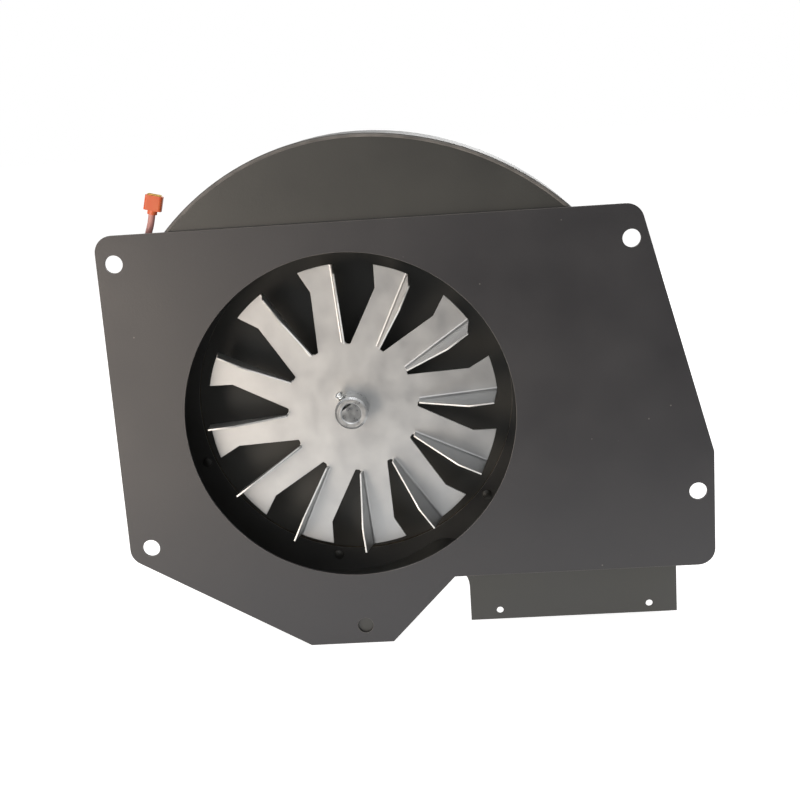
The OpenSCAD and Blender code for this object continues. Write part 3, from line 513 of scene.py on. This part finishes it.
def lead_curve():
    """A smooth round wire through the points of its route."""
    line = bpy.data.curves.new("lead", "CURVE")
    line.dimensions = "3D"
    line.bevel_depth = LEAD_D / 2
    line.bevel_resolution = 6
    line.resolution_u = 8
    line.use_fill_caps = True
    spline = line.splines.new("BEZIER")
    spline.bezier_points.add(len(LEAD_ROUTE) - 1)
    for knot, place in zip(spline.bezier_points, LEAD_ROUTE):
        knot.co = Vector(place) * MM
        knot.handle_left_type = "AUTO"
        knot.handle_right_type = "AUTO"
    wire = bpy.data.objects.new("lead_insulation", line)
    bpy.context.scene.collection.objects.link(wire)
    line.materials.append(lead_vinyl)
    return wire, spline.calc_length()


lead, lead_length = lead_curve()
sleeve = cad_copy("terminal_sleeve", "vinyl_sleeve", sleeve_vinyl)
soften(sleeve, 0.25 * MM, 3)
seat(sleeve, "housing", "sleeve_vinyl", "terminal_sleeve")
terminal = cad_copy("lead_terminal", "quick_connect_terminal", brass)
soften(terminal, 0.08 * MM)
seat(terminal, "housing", "terminal_brass", "lead_terminal")
seat(lead, "housing", "lead_insulation", "lead_wire")


# Sheet-metal housing

def sheet_metal(node, name, slot, paint, width):
    """A sheet of the housing with its sheared edges broken; the broken edges get the lighter edge enamel,
    partly a painted highlight.
    """
    piece = cad_copy(node, name, paint, paint_edge_wear_and_highlight)
    soften(piece, width * MM, 2, 1)
    seat(piece, "housing", slot, node)


sheet_metal("mounting_plate", "inlet_plate", "plate_paint", plate_paint, 0.58)
sheet_metal("scroll_front_wall", "scroll_front_sheet", "housing_paint", housing_paint, 0.38)
sheet_metal("scroll_wrapper", "scroll_wrapper_strip", "housing_paint", housing_paint, 0.15)
# The back wall inside the scroll gets the darker copy of the enamel: painted shade.
sheet_metal("scroll_back_wall", "scroll_back_sheet", "housing_paint", shade_darkened_inner_paint, 0.2)
sheet_metal("motor_plate", "motor_disc", "housing_paint", housing_paint, 0.35)

# The front sheet's rim is rolled over the wrapper; it gets the lighter edge enamel, partly paint thin on
# the roll's crest and partly a painted highlight.
SCROLL_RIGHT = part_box("scroll_front_wall")[1].x / MM
SCROLL_STEP = 17.5
RIM_R = 1.0
RIM_IN = 0.9
RIM_PROUD = 0.25
RIM_STEPS = 40
# The scroll's arcs: the sides of the square on which the centre lies, steps in, and the angles.
RIM_ARCS = [(1, -1, 0, 0, 90), (1, 1, 1, 93, 180), (-1, 1, 2, 183, 260)]


def rolled_rim():
    half = SCROLL_STEP / 2
    largest_r = SCROLL_RIGHT - half - RIM_IN
    route = []
    for side_x, side_z, steps_in, start, end in RIM_ARCS:
        centre = (side_x * half, side_z * half)
        route += arc(centre, largest_r - steps_in * SCROLL_STEP, start, end, RIM_STEPS)
    line = bpy.data.curves.new("scroll_rim", "CURVE")
    line.dimensions = "3D"
    line.bevel_depth = RIM_R * MM
    line.bevel_resolution = 4
    line.use_fill_caps = True
    spline = line.splines.new("POLY")
    spline.points.add(len(route) - 1)
    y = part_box("scroll_front_wall")[0].y / MM + RIM_R - RIM_PROUD
    for point, (x, z) in zip(spline.points, route):
        point.co = (x * MM, y * MM, z * MM, 1)
    rim = bpy.data.objects.new("scroll_rolled_rim", line)
    bpy.context.scene.collection.objects.link(rim)
    line.materials.append(paint_edge_wear_and_highlight)
    select_only(rim)
    bpy.ops.object.convert(target="MESH")
    rim = bpy.context.object
    smooth(rim, 40)
    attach(rim, "housing")


rolled_rim()

gasket = cad_copy("motor_gasket", "fibre_gasket", fibre)
soften(gasket, 0.2 * MM)
seat(gasket, "housing", "gasket_fibre", "motor_gasket")


# Impeller: one sheet, with each arm's flap folded forward round a real bend.
# Its sizes are those of the part's source, in millimetres and degrees.

SHEET_T = 0.7
ARM_COUNT = 12
ARM_PITCH = 360 / ARM_COUNT
FOLD_ANGLE = 94.3
FOLD_OFF = 1.1
IMPELLER_R = 61.3
HUB_HOLE_R = 6.05
ARM_ROOT_R = 27.6
ARM_ROOT_W = 12.1
ARM_NECK_R = 50.8
ARM_NECK_W = 11.4
ARM_TIP_W = 15.6
NOTCH_STEP = 2.6
NOTCH_R = 0.6
PADDLE_LEAN = 6.0
PADDLE_ROOT_R = 28.2
PADDLE_FULL_R = 48.8
PADDLE_ROOT_H = 4.0
PADDLE_FULL_H = 16.2
PADDLE_END_IN = 2.0
PADDLE_ROWS = 3
BEND_R = 1.1
BEND_STEPS = 7
TIP_STEPS = 8
HUB_HOLE_STEPS = 6
# Where the flap's columns of points lie along the fold; one more lies at the tip.
FLAP_COLUMNS = [PADDLE_ROOT_R, 34.0, 39.0, 44.0, PADDLE_FULL_R, 55.0]
DISC_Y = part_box("impeller")[1].y / MM - SHEET_T
BEND_TURN = 90 - PADDLE_LEAN


def on_arm(u, v, y):
    """A place in metres from out along the fold, across the arm, and along the shaft."""
    x, z = turned((u, v), FOLD_ANGLE)
    return Vector((x, y, z)) * MM


def paddle_height(u):
    """How far the paddle stands forward at this distance from the shaft."""
    share = min(1, (u - PADDLE_ROOT_R) / (PADDLE_FULL_R - PADDLE_ROOT_R))
    return PADDLE_ROOT_H + (PADDLE_FULL_H - PADDLE_ROOT_H) * share


def impeller_sheet():
    half_turn = math.radians(BEND_TURN / 2)
    bend_v = BEND_R * math.tan(half_turn)
    fold_end = math.sqrt(IMPELLER_R ** 2 - bend_v ** 2)
    columns = FLAP_COLUMNS + [fold_end]

    # The flat of one arm, with its slice of the disc, from the middle of one notch to the next.
    fold_root = (ARM_ROOT_R, -FOLD_OFF)
    fold_tip = (fold_end, -FOLD_OFF)
    neck = (ARM_NECK_R, ARM_NECK_W - FOLD_OFF)
    open_root = (ARM_ROOT_R - NOTCH_STEP, ARM_ROOT_W - FOLD_OFF)
    middle = tuple((Vector(open_root) + Vector(turned(fold_root, ARM_PITCH))) / 2)
    last_middle = turned(middle, -ARM_PITCH)
    slice_end = math.degrees(math.atan2(middle[1], middle[0]))
    tip_start = math.degrees(math.asin(bend_v / IMPELLER_R))
    tip_end = math.degrees(math.asin((ARM_TIP_W - FOLD_OFF) / IMPELLER_R))
    flat = (
        [last_middle]
        + rounded(last_middle, fold_root, fold_tip, NOTCH_R)
        + [(PADDLE_ROOT_R, -FOLD_OFF)]
        + [(u, bend_v) for u in FLAP_COLUMNS]
        + arc((0, 0), IMPELLER_R, tip_start, tip_end, TIP_STEPS)
        + [neck]
        + rounded(neck, open_root, middle, NOTCH_R)
        + [middle]
        + arc((0, 0), HUB_HOLE_R, slice_end, slice_end - ARM_PITCH, HUB_HOLE_STEPS)
    )
    piece = outline_face("stamped_impeller", [on_arm(u, v, DISC_Y) for u, v in flat], sheet, sheet_edge)

    def folded(column, row):
        """A point of the flap: round the bend first, then up the leaning paddle."""
        u = columns[column]
        turn = math.radians(BEND_TURN) * min(row, BEND_STEPS) / BEND_STEPS
        v = bend_v - BEND_R * math.sin(turn)
        forward = BEND_R * (1 - math.cos(turn))
        if row > BEND_STEPS:
            share = (row - BEND_STEPS) / PADDLE_ROWS
            rise = (paddle_height(u) * math.cos(math.radians(PADDLE_LEAN)) - forward) * share
            v -= rise * math.tan(math.radians(PADDLE_LEAN))
            forward += rise
            if column == len(columns) - 1:
                u -= PADDLE_END_IN * share
        return on_arm(u, v, DISC_Y - forward)

    rows = BEND_STEPS + PADDLE_ROWS + 1
    flap = shaped_grid("flap", len(columns), rows, folded, sheet, sheet_edge)
    join(piece, flap)
    with editing(piece):
        turn = 2 * math.pi * (ARM_COUNT - 1) / ARM_COUNT
        bpy.ops.mesh.spin(steps=ARM_COUNT - 1, dupli=True, angle=turn, center=(0, 0, 0), axis=(0, 1, 0))
        bpy.ops.mesh.select_all(action="SELECT")
        bpy.ops.mesh.remove_doubles(threshold=WELD)
        bpy.ops.mesh.normals_make_consistent(inside=False)
    if max(piece.data.polygons, key=lambda face: face.area).normal.y > 0:
        piece.data.flip_normals()
    apply(piece, "SOLIDIFY", thickness=SHEET_T * MM, offset=-1, use_even_offset=True,
          material_offset_rim=1)
    soften(piece, 0.12 * MM, 2, degrees=40)
    seat(piece, "rotor", "aluminised_sheet", "impeller")


impeller_sheet()


# Hub, set screw and shaft

HUB_FRONT, HUB_BACK = (corner.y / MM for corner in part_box("impeller_hub"))
HUB_NOSE_R = 6.85
HUB_NOSE_CHAMFER = 0.8
HUB_NECK_R = 6.0
HUB_BORE_R = 4.02
HUB_MOUTH = 0.5
HUB_FLANGE_R = 13
HUB_FLANGE_T = 3
HUB_BREAK = 0.4
SET_SCREW_ANGLE = math.radians(125)
SET_SCREW_Y = HUB_FRONT + 5.2
SET_SCREW_R = 2.0
SET_SCREW_PLAY = 0.1
SET_SCREW_SEAT = 3.1
SET_SCREW_REACH = 9.5
SET_SCREW_POINT = 0.5
SET_SCREW_RIM = 0.4
SET_SCREW_THREAD = 0.3
SET_SCREW_PITCH = 0.7
SOCKET_FLATS = 2.0
SOCKET_DEPTH = 2.0
PAST_THE_HUB = 20


def screw_turn():
    """From the Y axis at the origin to the set screw's place, pointing outwards."""
    out = Vector((math.cos(SET_SCREW_ANGLE), 0, math.sin(SET_SCREW_ANGLE)))
    turn = out.to_track_quat("Y", "Z").to_matrix().to_4x4()
    return Matrix.Translation((0, SET_SCREW_Y * MM, 0)) @ turn


def threaded(start, end, r, depth, pitch):
    """Profile points of a thread drawn as V grooves."""
    points = []
    for i in range(int((end - start) / pitch)):
        points += [(r, start + i * pitch), (r - depth, start + (i + 0.5) * pitch)]
    return points + [(r, end)]


def impeller_hub():
    """A turned hub: nose in front of the sheet, neck through it, flange behind it."""
    neck = HUB_BACK - HUB_FLANGE_T
    profile = [
        (HUB_BORE_R, HUB_FRONT + HUB_MOUTH), (HUB_BORE_R + HUB_MOUTH, HUB_FRONT),
        (HUB_NOSE_R - HUB_NOSE_CHAMFER, HUB_FRONT), (HUB_NOSE_R, HUB_FRONT + HUB_NOSE_CHAMFER),
        (HUB_NOSE_R, DISC_Y), (HUB_NECK_R, DISC_Y), (HUB_NECK_R, neck),
        (HUB_FLANGE_R - HUB_BREAK, neck), (HUB_FLANGE_R, neck + HUB_BREAK),
        (HUB_FLANGE_R, HUB_BACK - HUB_BREAK), (HUB_FLANGE_R - HUB_BREAK, HUB_BACK),
        (HUB_BORE_R + HUB_BREAK, HUB_BACK), (HUB_BORE_R, HUB_BACK - HUB_BREAK),
    ]
    # The hub's lighter steel is a painted highlight.
    hub = lathe("turned_hub", profile, hub_steel, steps=72)
    hole_r = SET_SCREW_R + SET_SCREW_PLAY
    hole = lathe("hole", [(0, 0), (hole_r, 0), (hole_r, PAST_THE_HUB), (0, PAST_THE_HUB)])
    hole.data.transform(screw_turn())
    cut(hub, hole)
    smooth(hub, 25)
    seat(hub, "rotor", "ground_steel", "impeller_hub")


def hub_set_screw():
    """A headless screw with a hexagon socket, screwed in from the side."""
    start, end = SET_SCREW_SEAT, SET_SCREW_REACH
    thread = threaded(start + SET_SCREW_POINT, end - SET_SCREW_RIM, SET_SCREW_R, SET_SCREW_THREAD,
                      SET_SCREW_PITCH)
    profile = ([(0, start), (SET_SCREW_R - SET_SCREW_POINT, start)] + thread
               + [(SET_SCREW_R - SET_SCREW_THREAD, end), (0, end)])
    # The lighter zinc is a painted glint.
    screw = lathe("socket_set_screw", profile, glint_painted_zinc, steps=32)
    cut(screw, hexagon("socket", SOCKET_FLATS, end - SOCKET_DEPTH, end + 1))
    screw.data.transform(screw_turn())
    smooth(screw, 25)
    seat(screw, "rotor", "zinc_steel", "hub_set_screw")


def motor_shaft():
    shaft = cad_copy("motor_shaft", "ground_shaft", shaft_steel)
    soften(shaft, 0.3 * MM, 2)
    seat(shaft, "rotor", "ground_steel", "motor_shaft")


impeller_hub()
hub_set_screw()
motor_shaft()


# Screws, studs, sleeves, nuts and rivets

PLATE_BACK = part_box("motor_plate")[1].y / MM
STACK_FRONT, STACK_BACK = (corner.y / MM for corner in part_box("stator_core"))
NUT_FRONT, NUT_BACK = (corner.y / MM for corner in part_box("stud_nuts"))
STUD_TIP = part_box("motor_studs")[1].y / MM
SCREW_TIP, SCREW_TOP = (corner.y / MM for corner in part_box("motor_plate_screws"))
STUD_X, STUD_Z = 22, 34
STUD_R = 2.1
RIVET_XS, RIVET_Z = (-57, -38), 33
PLATE_SCREW_CIRCLE = 71.4
PLATE_SCREW_FIRST = 20
PLATE_SCREW_COUNT = 6


def moves_to(places):
    """Moves from the shaft's axis to places in X and Z, in millimetres."""
    return [Matrix.Translation((x * MM, 0, z * MM)) for x, z in places]


STUD_MOVES = moves_to([(x, z) for x in (-STUD_X, STUD_X) for z in (-STUD_Z, STUD_Z)])
SCREW_MOVES = moves_to(arc((0, 0), PLATE_SCREW_CIRCLE, PLATE_SCREW_FIRST,
                           PLATE_SCREW_FIRST + 360, PLATE_SCREW_COUNT)[:-1])


def plate_screws():
    """Sheet-metal screws with a washer under a hexagon head, which has a dimple."""
    thread_r, thread_depth, pitch = 2.1, 0.35, 1.2
    point_r, point_flat, point_l = 0.9, 0.1, 0.6
    washer_r, washer_t, washer_slope, washer_drop = 3.8, 0.8, 0.4, 0.3
    flats, crown_r, crown_drop = 6.4, 2.9, 1.1
    dimple_r, dimple_floor_r, dimple_depth = 1.9, 1.5, 0.5
    sink = 0.1
    washer_top = PLATE_BACK + washer_t
    shank = [(0, SCREW_TIP), (point_r, SCREW_TIP + point_flat)]
    shank += threaded(SCREW_TIP + point_l, PLATE_BACK, thread_r, thread_depth, pitch)
    shank += [(washer_r, PLATE_BACK), (washer_r, washer_top - washer_drop),
              (washer_r - washer_slope, washer_top), (0, washer_top)]
    body = lathe("plate_screws", shank, black_oxide, steps=32)
    head = hexagon("head", flats, washer_top - sink, SCREW_TOP, black_oxide)
    blank_r = washer_r + 1
    dimple_floor = SCREW_TOP - dimple_depth
    blank = [(0, PLATE_BACK), (blank_r, PLATE_BACK), (blank_r, SCREW_TOP - crown_drop),
             (crown_r, SCREW_TOP), (dimple_r, SCREW_TOP), (dimple_floor_r, dimple_floor), (0, dimple_floor)]
    cut(head, lathe("blank", blank), "INTERSECT")
    screws = repeat(join(body, head), SCREW_MOVES)
    smooth(screws, 25)
    seat(screws, "housing", "black_oxide", "motor_plate_screws")


def motor_studs():
    """Studs from the motor plate to behind the nuts, with a thread under and past the nuts."""
    thread_depth, pitch, tip_l, tip_slope = 0.35, 0.8, 0.5, 0.6
    thread = threaded(NUT_FRONT, STUD_TIP - tip_l, STUD_R, thread_depth, pitch)
    profile = ([(0, PLATE_BACK), (STUD_R, PLATE_BACK)] + thread
               + [(STUD_R - tip_slope, STUD_TIP), (0, STUD_TIP)])
    studs = repeat(lathe("threaded_studs", profile, zinc, steps=32), STUD_MOVES)
    smooth(studs, 25)
    seat(studs, "housing", "zinc_steel", "motor_studs")


def standoff_sleeves():
    """Tubes round the studs that hold the motor off its plate."""
    inner, outer, chamfer = 2.25, 4.5, 0.4
    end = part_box("standoff_sleeves")[1].y / MM
    profile = [(inner, PLATE_BACK), (outer - chamfer, PLATE_BACK), (outer, PLATE_BACK + chamfer),
               (outer, end - chamfer), (outer - chamfer, end), (inner, end)]
    sleeves = repeat(lathe("standoff_tubes", profile, zinc), STUD_MOVES)
    smooth(sleeves, 30)
    seat(sleeves, "housing", "zinc_steel", "standoff_sleeves")


def stud_nuts():
    """Hexagon nuts with chamfered corners and a countersunk bore."""
    flats, face_r, corner_r, chamfer = 8.0, 4.0, 5.0, 0.55
    bore_r, mouth_r, mouth_l = STUD_R + 0.1, STUD_R + 0.5, 0.5
    nut = hexagon("hexagon_nuts", flats, NUT_FRONT, NUT_BACK, zinc)
    blank = [(mouth_r, NUT_FRONT), (face_r, NUT_FRONT), (corner_r, NUT_FRONT + chamfer),
             (corner_r, NUT_BACK - chamfer), (face_r, NUT_BACK), (mouth_r, NUT_BACK),
             (bore_r, NUT_BACK - mouth_l), (bore_r, NUT_FRONT + mouth_l)]
    cut(nut, lathe("blank", blank), "INTERSECT")
    nuts = repeat(nut, STUD_MOVES)
    smooth(nuts, 25)
    seat(nuts, "housing", "zinc_steel", "stud_nuts")


def core_rivets():
    """Rivets through the core, with a low dome at both ends."""
    shank_r, head_r, head_h, head_edge = 2.0, 3.5, 1.5, 0.3
    rise = head_h - head_edge
    angles = [math.radians(degrees) for degrees in range(0, 91, 15)]
    dome = [(head_r * math.cos(a), head_edge + rise * math.sin(a)) for a in angles]
    front = [(r, STACK_FRONT - h) for r, h in reversed(dome)]
    back = [(r, STACK_BACK + h) for r, h in dome]
    shank = [(head_r, STACK_FRONT), (shank_r, STACK_FRONT), (shank_r, STACK_BACK), (head_r, STACK_BACK)]
    profile = front + shank + back
    places = [(x, z) for x in RIVET_XS for z in (-RIVET_Z, RIVET_Z)]
    rivets = repeat(lathe("domed_rivets", profile, zinc, steps=32), moves_to(places))
    smooth(rivets, 25)
    seat(rivets, "housing", "zinc_steel", "core_rivets")


plate_screws()
motor_studs()
standoff_sleeves()
stud_nuts()
core_rivets()


# Motor: cast brackets, laminated core, shading rings

CAST_CELL = 0.45
CAST_PASSES = 6
CAST_KEPT = 0.35


def cast_bracket(node, name):
    """A bracket with the rounded corners and fillets of a casting."""
    bracket = cad_copy(node, name, die_cast)
    apply(bracket, "REMESH", mode="VOXEL", voxel_size=CAST_CELL * MM)
    apply(bracket, "SMOOTH", factor=0.5, iterations=CAST_PASSES)
    apply(bracket, "DECIMATE", ratio=CAST_KEPT)
    smooth(bracket, 60)
    seat(bracket, "housing", "die_cast", node)


cast_bracket("front_bracket", "front_casting")
cast_bracket("rear_bracket", "rear_casting")

# The stack is drawn with twenty sheets, each for two real ones, so that they show.
LAMINATIONS = 20
LAMINATION_GAP = 0.14


def laminated(node, name, body):
    """A solid of the core as a stack of separate sheets."""
    sheets = cad_copy(node, name, lamination)
    front, back = (corner.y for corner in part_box(node))
    pitch = (back - front + LAMINATION_GAP * MM) / LAMINATIONS
    for vertex in sheets.data.vertices:
        vertex.co.y = front if vertex.co.y < (front + back) / 2 else front + pitch - LAMINATION_GAP * MM
    apply(sheets, "ARRAY", count=LAMINATIONS, use_relative_offset=False, use_constant_offset=True,
          constant_offset_displace=(0, pitch, 0))
    smooth(sheets, 30)
    seat(sheets, body, "lamination_steel", node)


laminated("stator_core", "stator_laminations", "housing")
laminated("coil_bar", "coil_bar_laminations", "housing")
laminated("rotor_core", "rotor_laminations", "rotor")

rings = cad_copy("shading_rings", "copper_shading_rings", copper)
soften(rings, 0.5 * MM, 3)
seat(rings, "housing", "copper", "shading_rings")

end_rings = cad_copy("rotor_end_rings", "cast_end_rings", aluminium)
soften(end_rings, 0.7 * MM, 3)
seat(end_rings, "rotor", "cast_aluminium", "rotor_end_rings")

dress("front_bearing", bronze)
dress("rear_bearing", bronze)
dress("bearing_retainers", spring)
dress("thrust_sleeves", thrust)
dress("coil_winding", copper)


# Coil: bobbin, tape wound in turns, spare terminal

def coil_bobbin():
    bobbin = cad_copy("coil_bobbin", "moulded_bobbin", nylon)
    soften(bobbin, 0.4 * MM, 3)
    seat(bobbin, "housing", "bobbin_nylon", "coil_bobbin")


TAPE_TURNS = 5
TAPE_T = 0.6
TAPE_STEP = 0.22
TAPE_LAP = 0.3
TAPE_CORNER_R = 6.6
CORNER_STEPS = 8


def coil_tape():
    """Five turns of tape round the winding, each lapped over the one below."""
    low, high = (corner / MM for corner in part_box("coil_tape"))
    middle = (low + high) / 2
    half = (high - low) / 2
    width = (high.z - low.z) / TAPE_TURNS
    # The strip's section, outside first: out from the winding and up.
    section = []
    for turn in range(TAPE_TURNS):
        base = low.z + turn * width
        section += [(-TAPE_STEP, base), (0, base + TAPE_LAP), (-TAPE_STEP / 2, base + width)]
    section += [(-TAPE_T, high.z), (-TAPE_T, low.z)]
    loop = []
    for quarter, (side_x, side_y) in enumerate([(1, 1), (-1, 1), (-1, -1), (1, -1)]):
        x = side_x * (half.x - TAPE_CORNER_R)
        y = side_y * (half.y - TAPE_CORNER_R)
        for step in range(CORNER_STEPS + 1):
            angle = QUARTER * (quarter + step / CORNER_STEPS)
            loop.append((x, y, math.cos(angle), math.sin(angle)))
    columns, rows = len(loop) + 1, len(section) + 1

    def wound(column, row):
        x, y, out_x, out_y = loop[column % len(loop)]
        out, z = section[row % len(section)]
        reach = TAPE_CORNER_R + out
        return Vector((middle.x + x + out_x * reach, middle.y + y + out_y * reach, z)) * MM

    tape = shaped_grid("film_tape_turns", columns, rows, wound, film)
    with editing(tape):
        bpy.ops.mesh.remove_doubles(threshold=WELD)
        bpy.ops.mesh.normals_make_consistent(inside=False)
    smooth(tape, 20)
    seat(tape, "housing", "coil_tape", "coil_tape")


BLADE_TAPER = 1.2 * MM
BLADE_HOLE_R = 0.9 * MM
BLADE_HOLE_UP = 1 * MM
BLADE_NEAR = 0.1 * MM


def spare_blade():
    """A quick-connect blade with a tapered tip and its locking hole."""
    low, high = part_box("spare_terminal_blade")
    bpy.ops.mesh.primitive_cube_add(size=1, location=(low + high) / 2, scale=high - low)
    bpy.ops.object.transform_apply(location=True, rotation=True, scale=True)
    blade = named("spare_quick_connect_blade", [brass])
    with editing(blade) as shape:
        for edge in shape.edges:
            start, end = (vertex.co for vertex in edge.verts)
            at_tip = min(start.z, end.z) > high.z - BLADE_NEAR
            edge.select = at_tip and abs(start.x - end.x) > BLADE_NEAR
        shape.select_flush_mode()
        bpy.ops.mesh.bevel(offset=BLADE_TAPER, segments=1, affect="EDGES")
    hole_place = (low + high) / 2 + Vector((0, 0, BLADE_HOLE_UP))
    bpy.ops.mesh.primitive_cylinder_add(vertices=32, radius=BLADE_HOLE_R, depth=4 * MM,
                                        rotation=(0, QUARTER, 0), location=hole_place)
    cut(blade, bpy.context.object)
    soften(blade, 0.12 * MM)
    seat(blade, "housing", "terminal_brass", "spare_terminal_blade")


coil_bobbin()
coil_tape()
spare_blade()


# Cooling fan and its push nut

FAN_BLADES = 5
FAN_PITCH = math.radians(24)
FAN_T = 1.2
FAN_COLUMNS = [6.5, 11, 16, 21, 26, 30, 34, 36.4, 38.0, 38.8, 39.0]
FAN_ROWS = 9
FAN_ROOT_HALF = 4
FAN_TIP_HALF = 10
FAN_CORNER_AT = 34
FAN_CORNER_R = 5
FAN_CAMBER = 1.2
FAN_CAMBER_RUN = 20
FAN_HUB_L = 11
FAN_HUB_R = 8
FAN_HUB_CHAMFER = 1
FAN_BORE_R = 4.05
NUT_PLATE_FRONT, NUT_PLATE_BACK = (corner.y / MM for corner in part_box("fan_push_nut"))


def fan_half_width(u):
    """Half the blade's width at this distance from the shaft: flaring, with round corners."""
    if u <= FAN_CORNER_AT:
        share = (u - FAN_COLUMNS[0]) / (FAN_CORNER_AT - FAN_COLUMNS[0])
        return FAN_ROOT_HALF + (FAN_TIP_HALF - FAN_ROOT_HALF) * share
    return FAN_TIP_HALF - FAN_CORNER_R + math.sqrt(FAN_CORNER_R ** 2 - (u - FAN_CORNER_AT) ** 2)


def cooling_fan():
    hub_back = NUT_PLATE_FRONT
    hub_front = hub_back - FAN_HUB_L
    middle = (hub_front + hub_back) / 2

    def blade_point(column, row):
        """A point of the pitched blade, which bulges more the further out it lies."""
        u = FAN_COLUMNS[column]
        across = 2 * row / (FAN_ROWS - 1) - 1
        z = fan_half_width(u) * across
        growth = min(1, (u - FAN_COLUMNS[0]) / FAN_CAMBER_RUN)
        bulge = FAN_CAMBER * (1 - across ** 2) * growth - FAN_CAMBER / 2
        y = middle - z * math.sin(FAN_PITCH) + bulge
        return Vector((u, y, z * math.cos(FAN_PITCH))) * MM

    blade = shaped_grid("blade", len(FAN_COLUMNS), FAN_ROWS, blade_point, fan_plastic)
    apply(blade, "SOLIDIFY", thickness=FAN_T * MM, offset=0)
    turns = [Matrix.Rotation(2 * math.pi * i / FAN_BLADES, 4, "Y") for i in range(FAN_BLADES)]
    blades = repeat(blade, turns)
    shoulder_r = FAN_HUB_R - FAN_HUB_CHAMFER
    profile = [(FAN_BORE_R, hub_front), (shoulder_r, hub_front), (FAN_HUB_R, hub_front + FAN_HUB_CHAMFER),
               (FAN_HUB_R, hub_back - FAN_HUB_CHAMFER), (shoulder_r, hub_back), (FAN_BORE_R, hub_back)]
    fan = join(lathe("moulded_fan", profile, fan_plastic), blades)
    soften(fan, 0.35 * MM, 3, degrees=50)
    seat(fan, "rotor", "fan_plastic", "cooling_fan")


def push_nut():
    """A dished spring washer: its outside from the bore to the rim, then its inside back again."""
    front, back = NUT_PLATE_FRONT, NUT_PLATE_BACK
    rim_r, edge, thick = 7.0, 0.2, 0.5
    crown_r, crown_drop, foot_r, inside_r = 4.8, 0.1, 5.4, 5.0
    profile = [(FAN_BORE_R, back - thick), (crown_r, back - crown_drop), (foot_r, front + thick),
               (rim_r - edge, front + 2 * edge), (rim_r, front + edge), (rim_r - edge, front),
               (inside_r, front), (FAN_BORE_R, back - 2 * thick)]
    nut = lathe("push_on_nut", profile, spring)
    smooth(nut, 30)
    seat(nut, "rotor", "spring_steel", "fan_push_nut")


cooling_fan()
push_nut()


# Studio: white paper behind, a bright ceiling, a dim room in front, and a white table

# How strongly the world lights the object, and how bright the room in front is where it is mirrored.
AMBIENT = 0.18
ROOM = 0.08
# The mirrored paper and ceiling come up between these values of the view's direction in Y and in Z.
PAPER_FROM, PAPER_FULL = -0.6, 0.2
CEILING_FROM, CEILING_FULL = 0.0, 0.5
TABLE_SIZE = 6
TABLE_DROP = 0.2 * MM
TABLE_FRONT = -0.18
TABLE_GLOW = 0.9
# Name, place, power in watts, size and colour of each lamp; all point at the inlet.
LIGHTS = [
    ("key", (-0.35, -0.41, -0.06), 1.95, 0.34, "#fff0e0"),
    ("window", (-0.36, -1.05, 0.42), 1.0, 0.4, "#ffffff"),
    ("top", (0.1, 0.02, 0.95), 2.6, 0.6, "#ffffff"),
    ("back", (0.35, 0.95, 0.45), 3.6, 0.7, "#ffffff"),
]


def seen_share(tree, mirrored_share=1.0):
    """One where the camera sees a surface, a share where it is mirrored or behind glass, else zero."""
    path = add(tree, "LightPath", {}).outputs
    bent_rays = {0: path["Is Glossy Ray"], 1: path["Is Transmission Ray"]}
    mirrored = add(tree, "Math", bent_rays, operation="MAXIMUM").outputs[0]
    toned = add(tree, "Math", {0: mirrored, 1: mirrored_share}, operation="MULTIPLY").outputs[0]
    return add(tree, "Math", {0: path["Is Camera Ray"], 1: toned}, operation="MAXIMUM").outputs[0]


def white_world():
    """White paper behind the object and a bright ceiling; what it mirrors from the front is dimmer."""
    world = bpy.data.worlds.new("white_studio")
    bpy.context.scene.world = world
    world.use_nodes = True
    tree = world.node_tree
    direction = add(tree, "TexCoord", {}).outputs["Generated"]
    aim = add(tree, "SeparateXYZ", {"Vector": direction}).outputs

    paper = add(tree, "MapRange", {0: aim["Y"], 1: PAPER_FROM, 2: PAPER_FULL, 3: ROOM, 4: 1.0})
    ceiling = add(tree, "MapRange", {0: aim["Z"], 1: CEILING_FROM, 2: CEILING_FULL, 3: ROOM, 4: 1.0})
    bright = add(tree, "Math", {0: paper.outputs[0], 1: ceiling.outputs[0]}, operation="MAXIMUM").outputs[0]
    strength = add(tree, "Math", {0: seen_share(tree, bright), 1: AMBIENT}, operation="MAXIMUM").outputs[0]
    background = tree.nodes["Background"]
    background.inputs["Color"].default_value = (1, 1, 1, 1)
    tree.links.new(strength, background.inputs["Strength"])


def table():
    """A white table under the foot, which ends in front of the object."""
    place = (0, TABLE_FRONT + TABLE_SIZE / 2, CAD_BOX[0].z - TABLE_DROP)
    bpy.ops.mesh.primitive_plane_add(size=TABLE_SIZE, location=place)
    bpy.ops.object.transform_apply(location=True)
    constants = {"Base Color": srgb("#f4f4f3"), "Roughness": 0.9, "Specular IOR Level": 0.0,
                 "Emission Color": (1, 1, 1, 1)}
    material, tree, shader, _ = surface("matte_white_table", constants)
    glow = add(tree, "Math", {0: seen_share(tree), 1: TABLE_GLOW}, operation="MULTIPLY").outputs[0]
    tree.links.new(glow, shader.inputs["Emission Strength"])
    named("table", [material])


def lights():
    for name, place, power, size, colour in LIGHTS:
        bpy.ops.object.light_add(type="AREA", location=place)
        lamp = bpy.context.object
        lamp.name = name
        lamp.data.energy = power
        lamp.data.size = size
        lamp.data.color = srgb(colour)[:3]
        lamp.visible_camera = False
        lamp.rotation_euler = (-Vector(place)).to_track_quat("-Z", "Y").to_euler()


white_world()
table()
lights()
bpy.context.scene.view_settings.view_transform = "Standard"
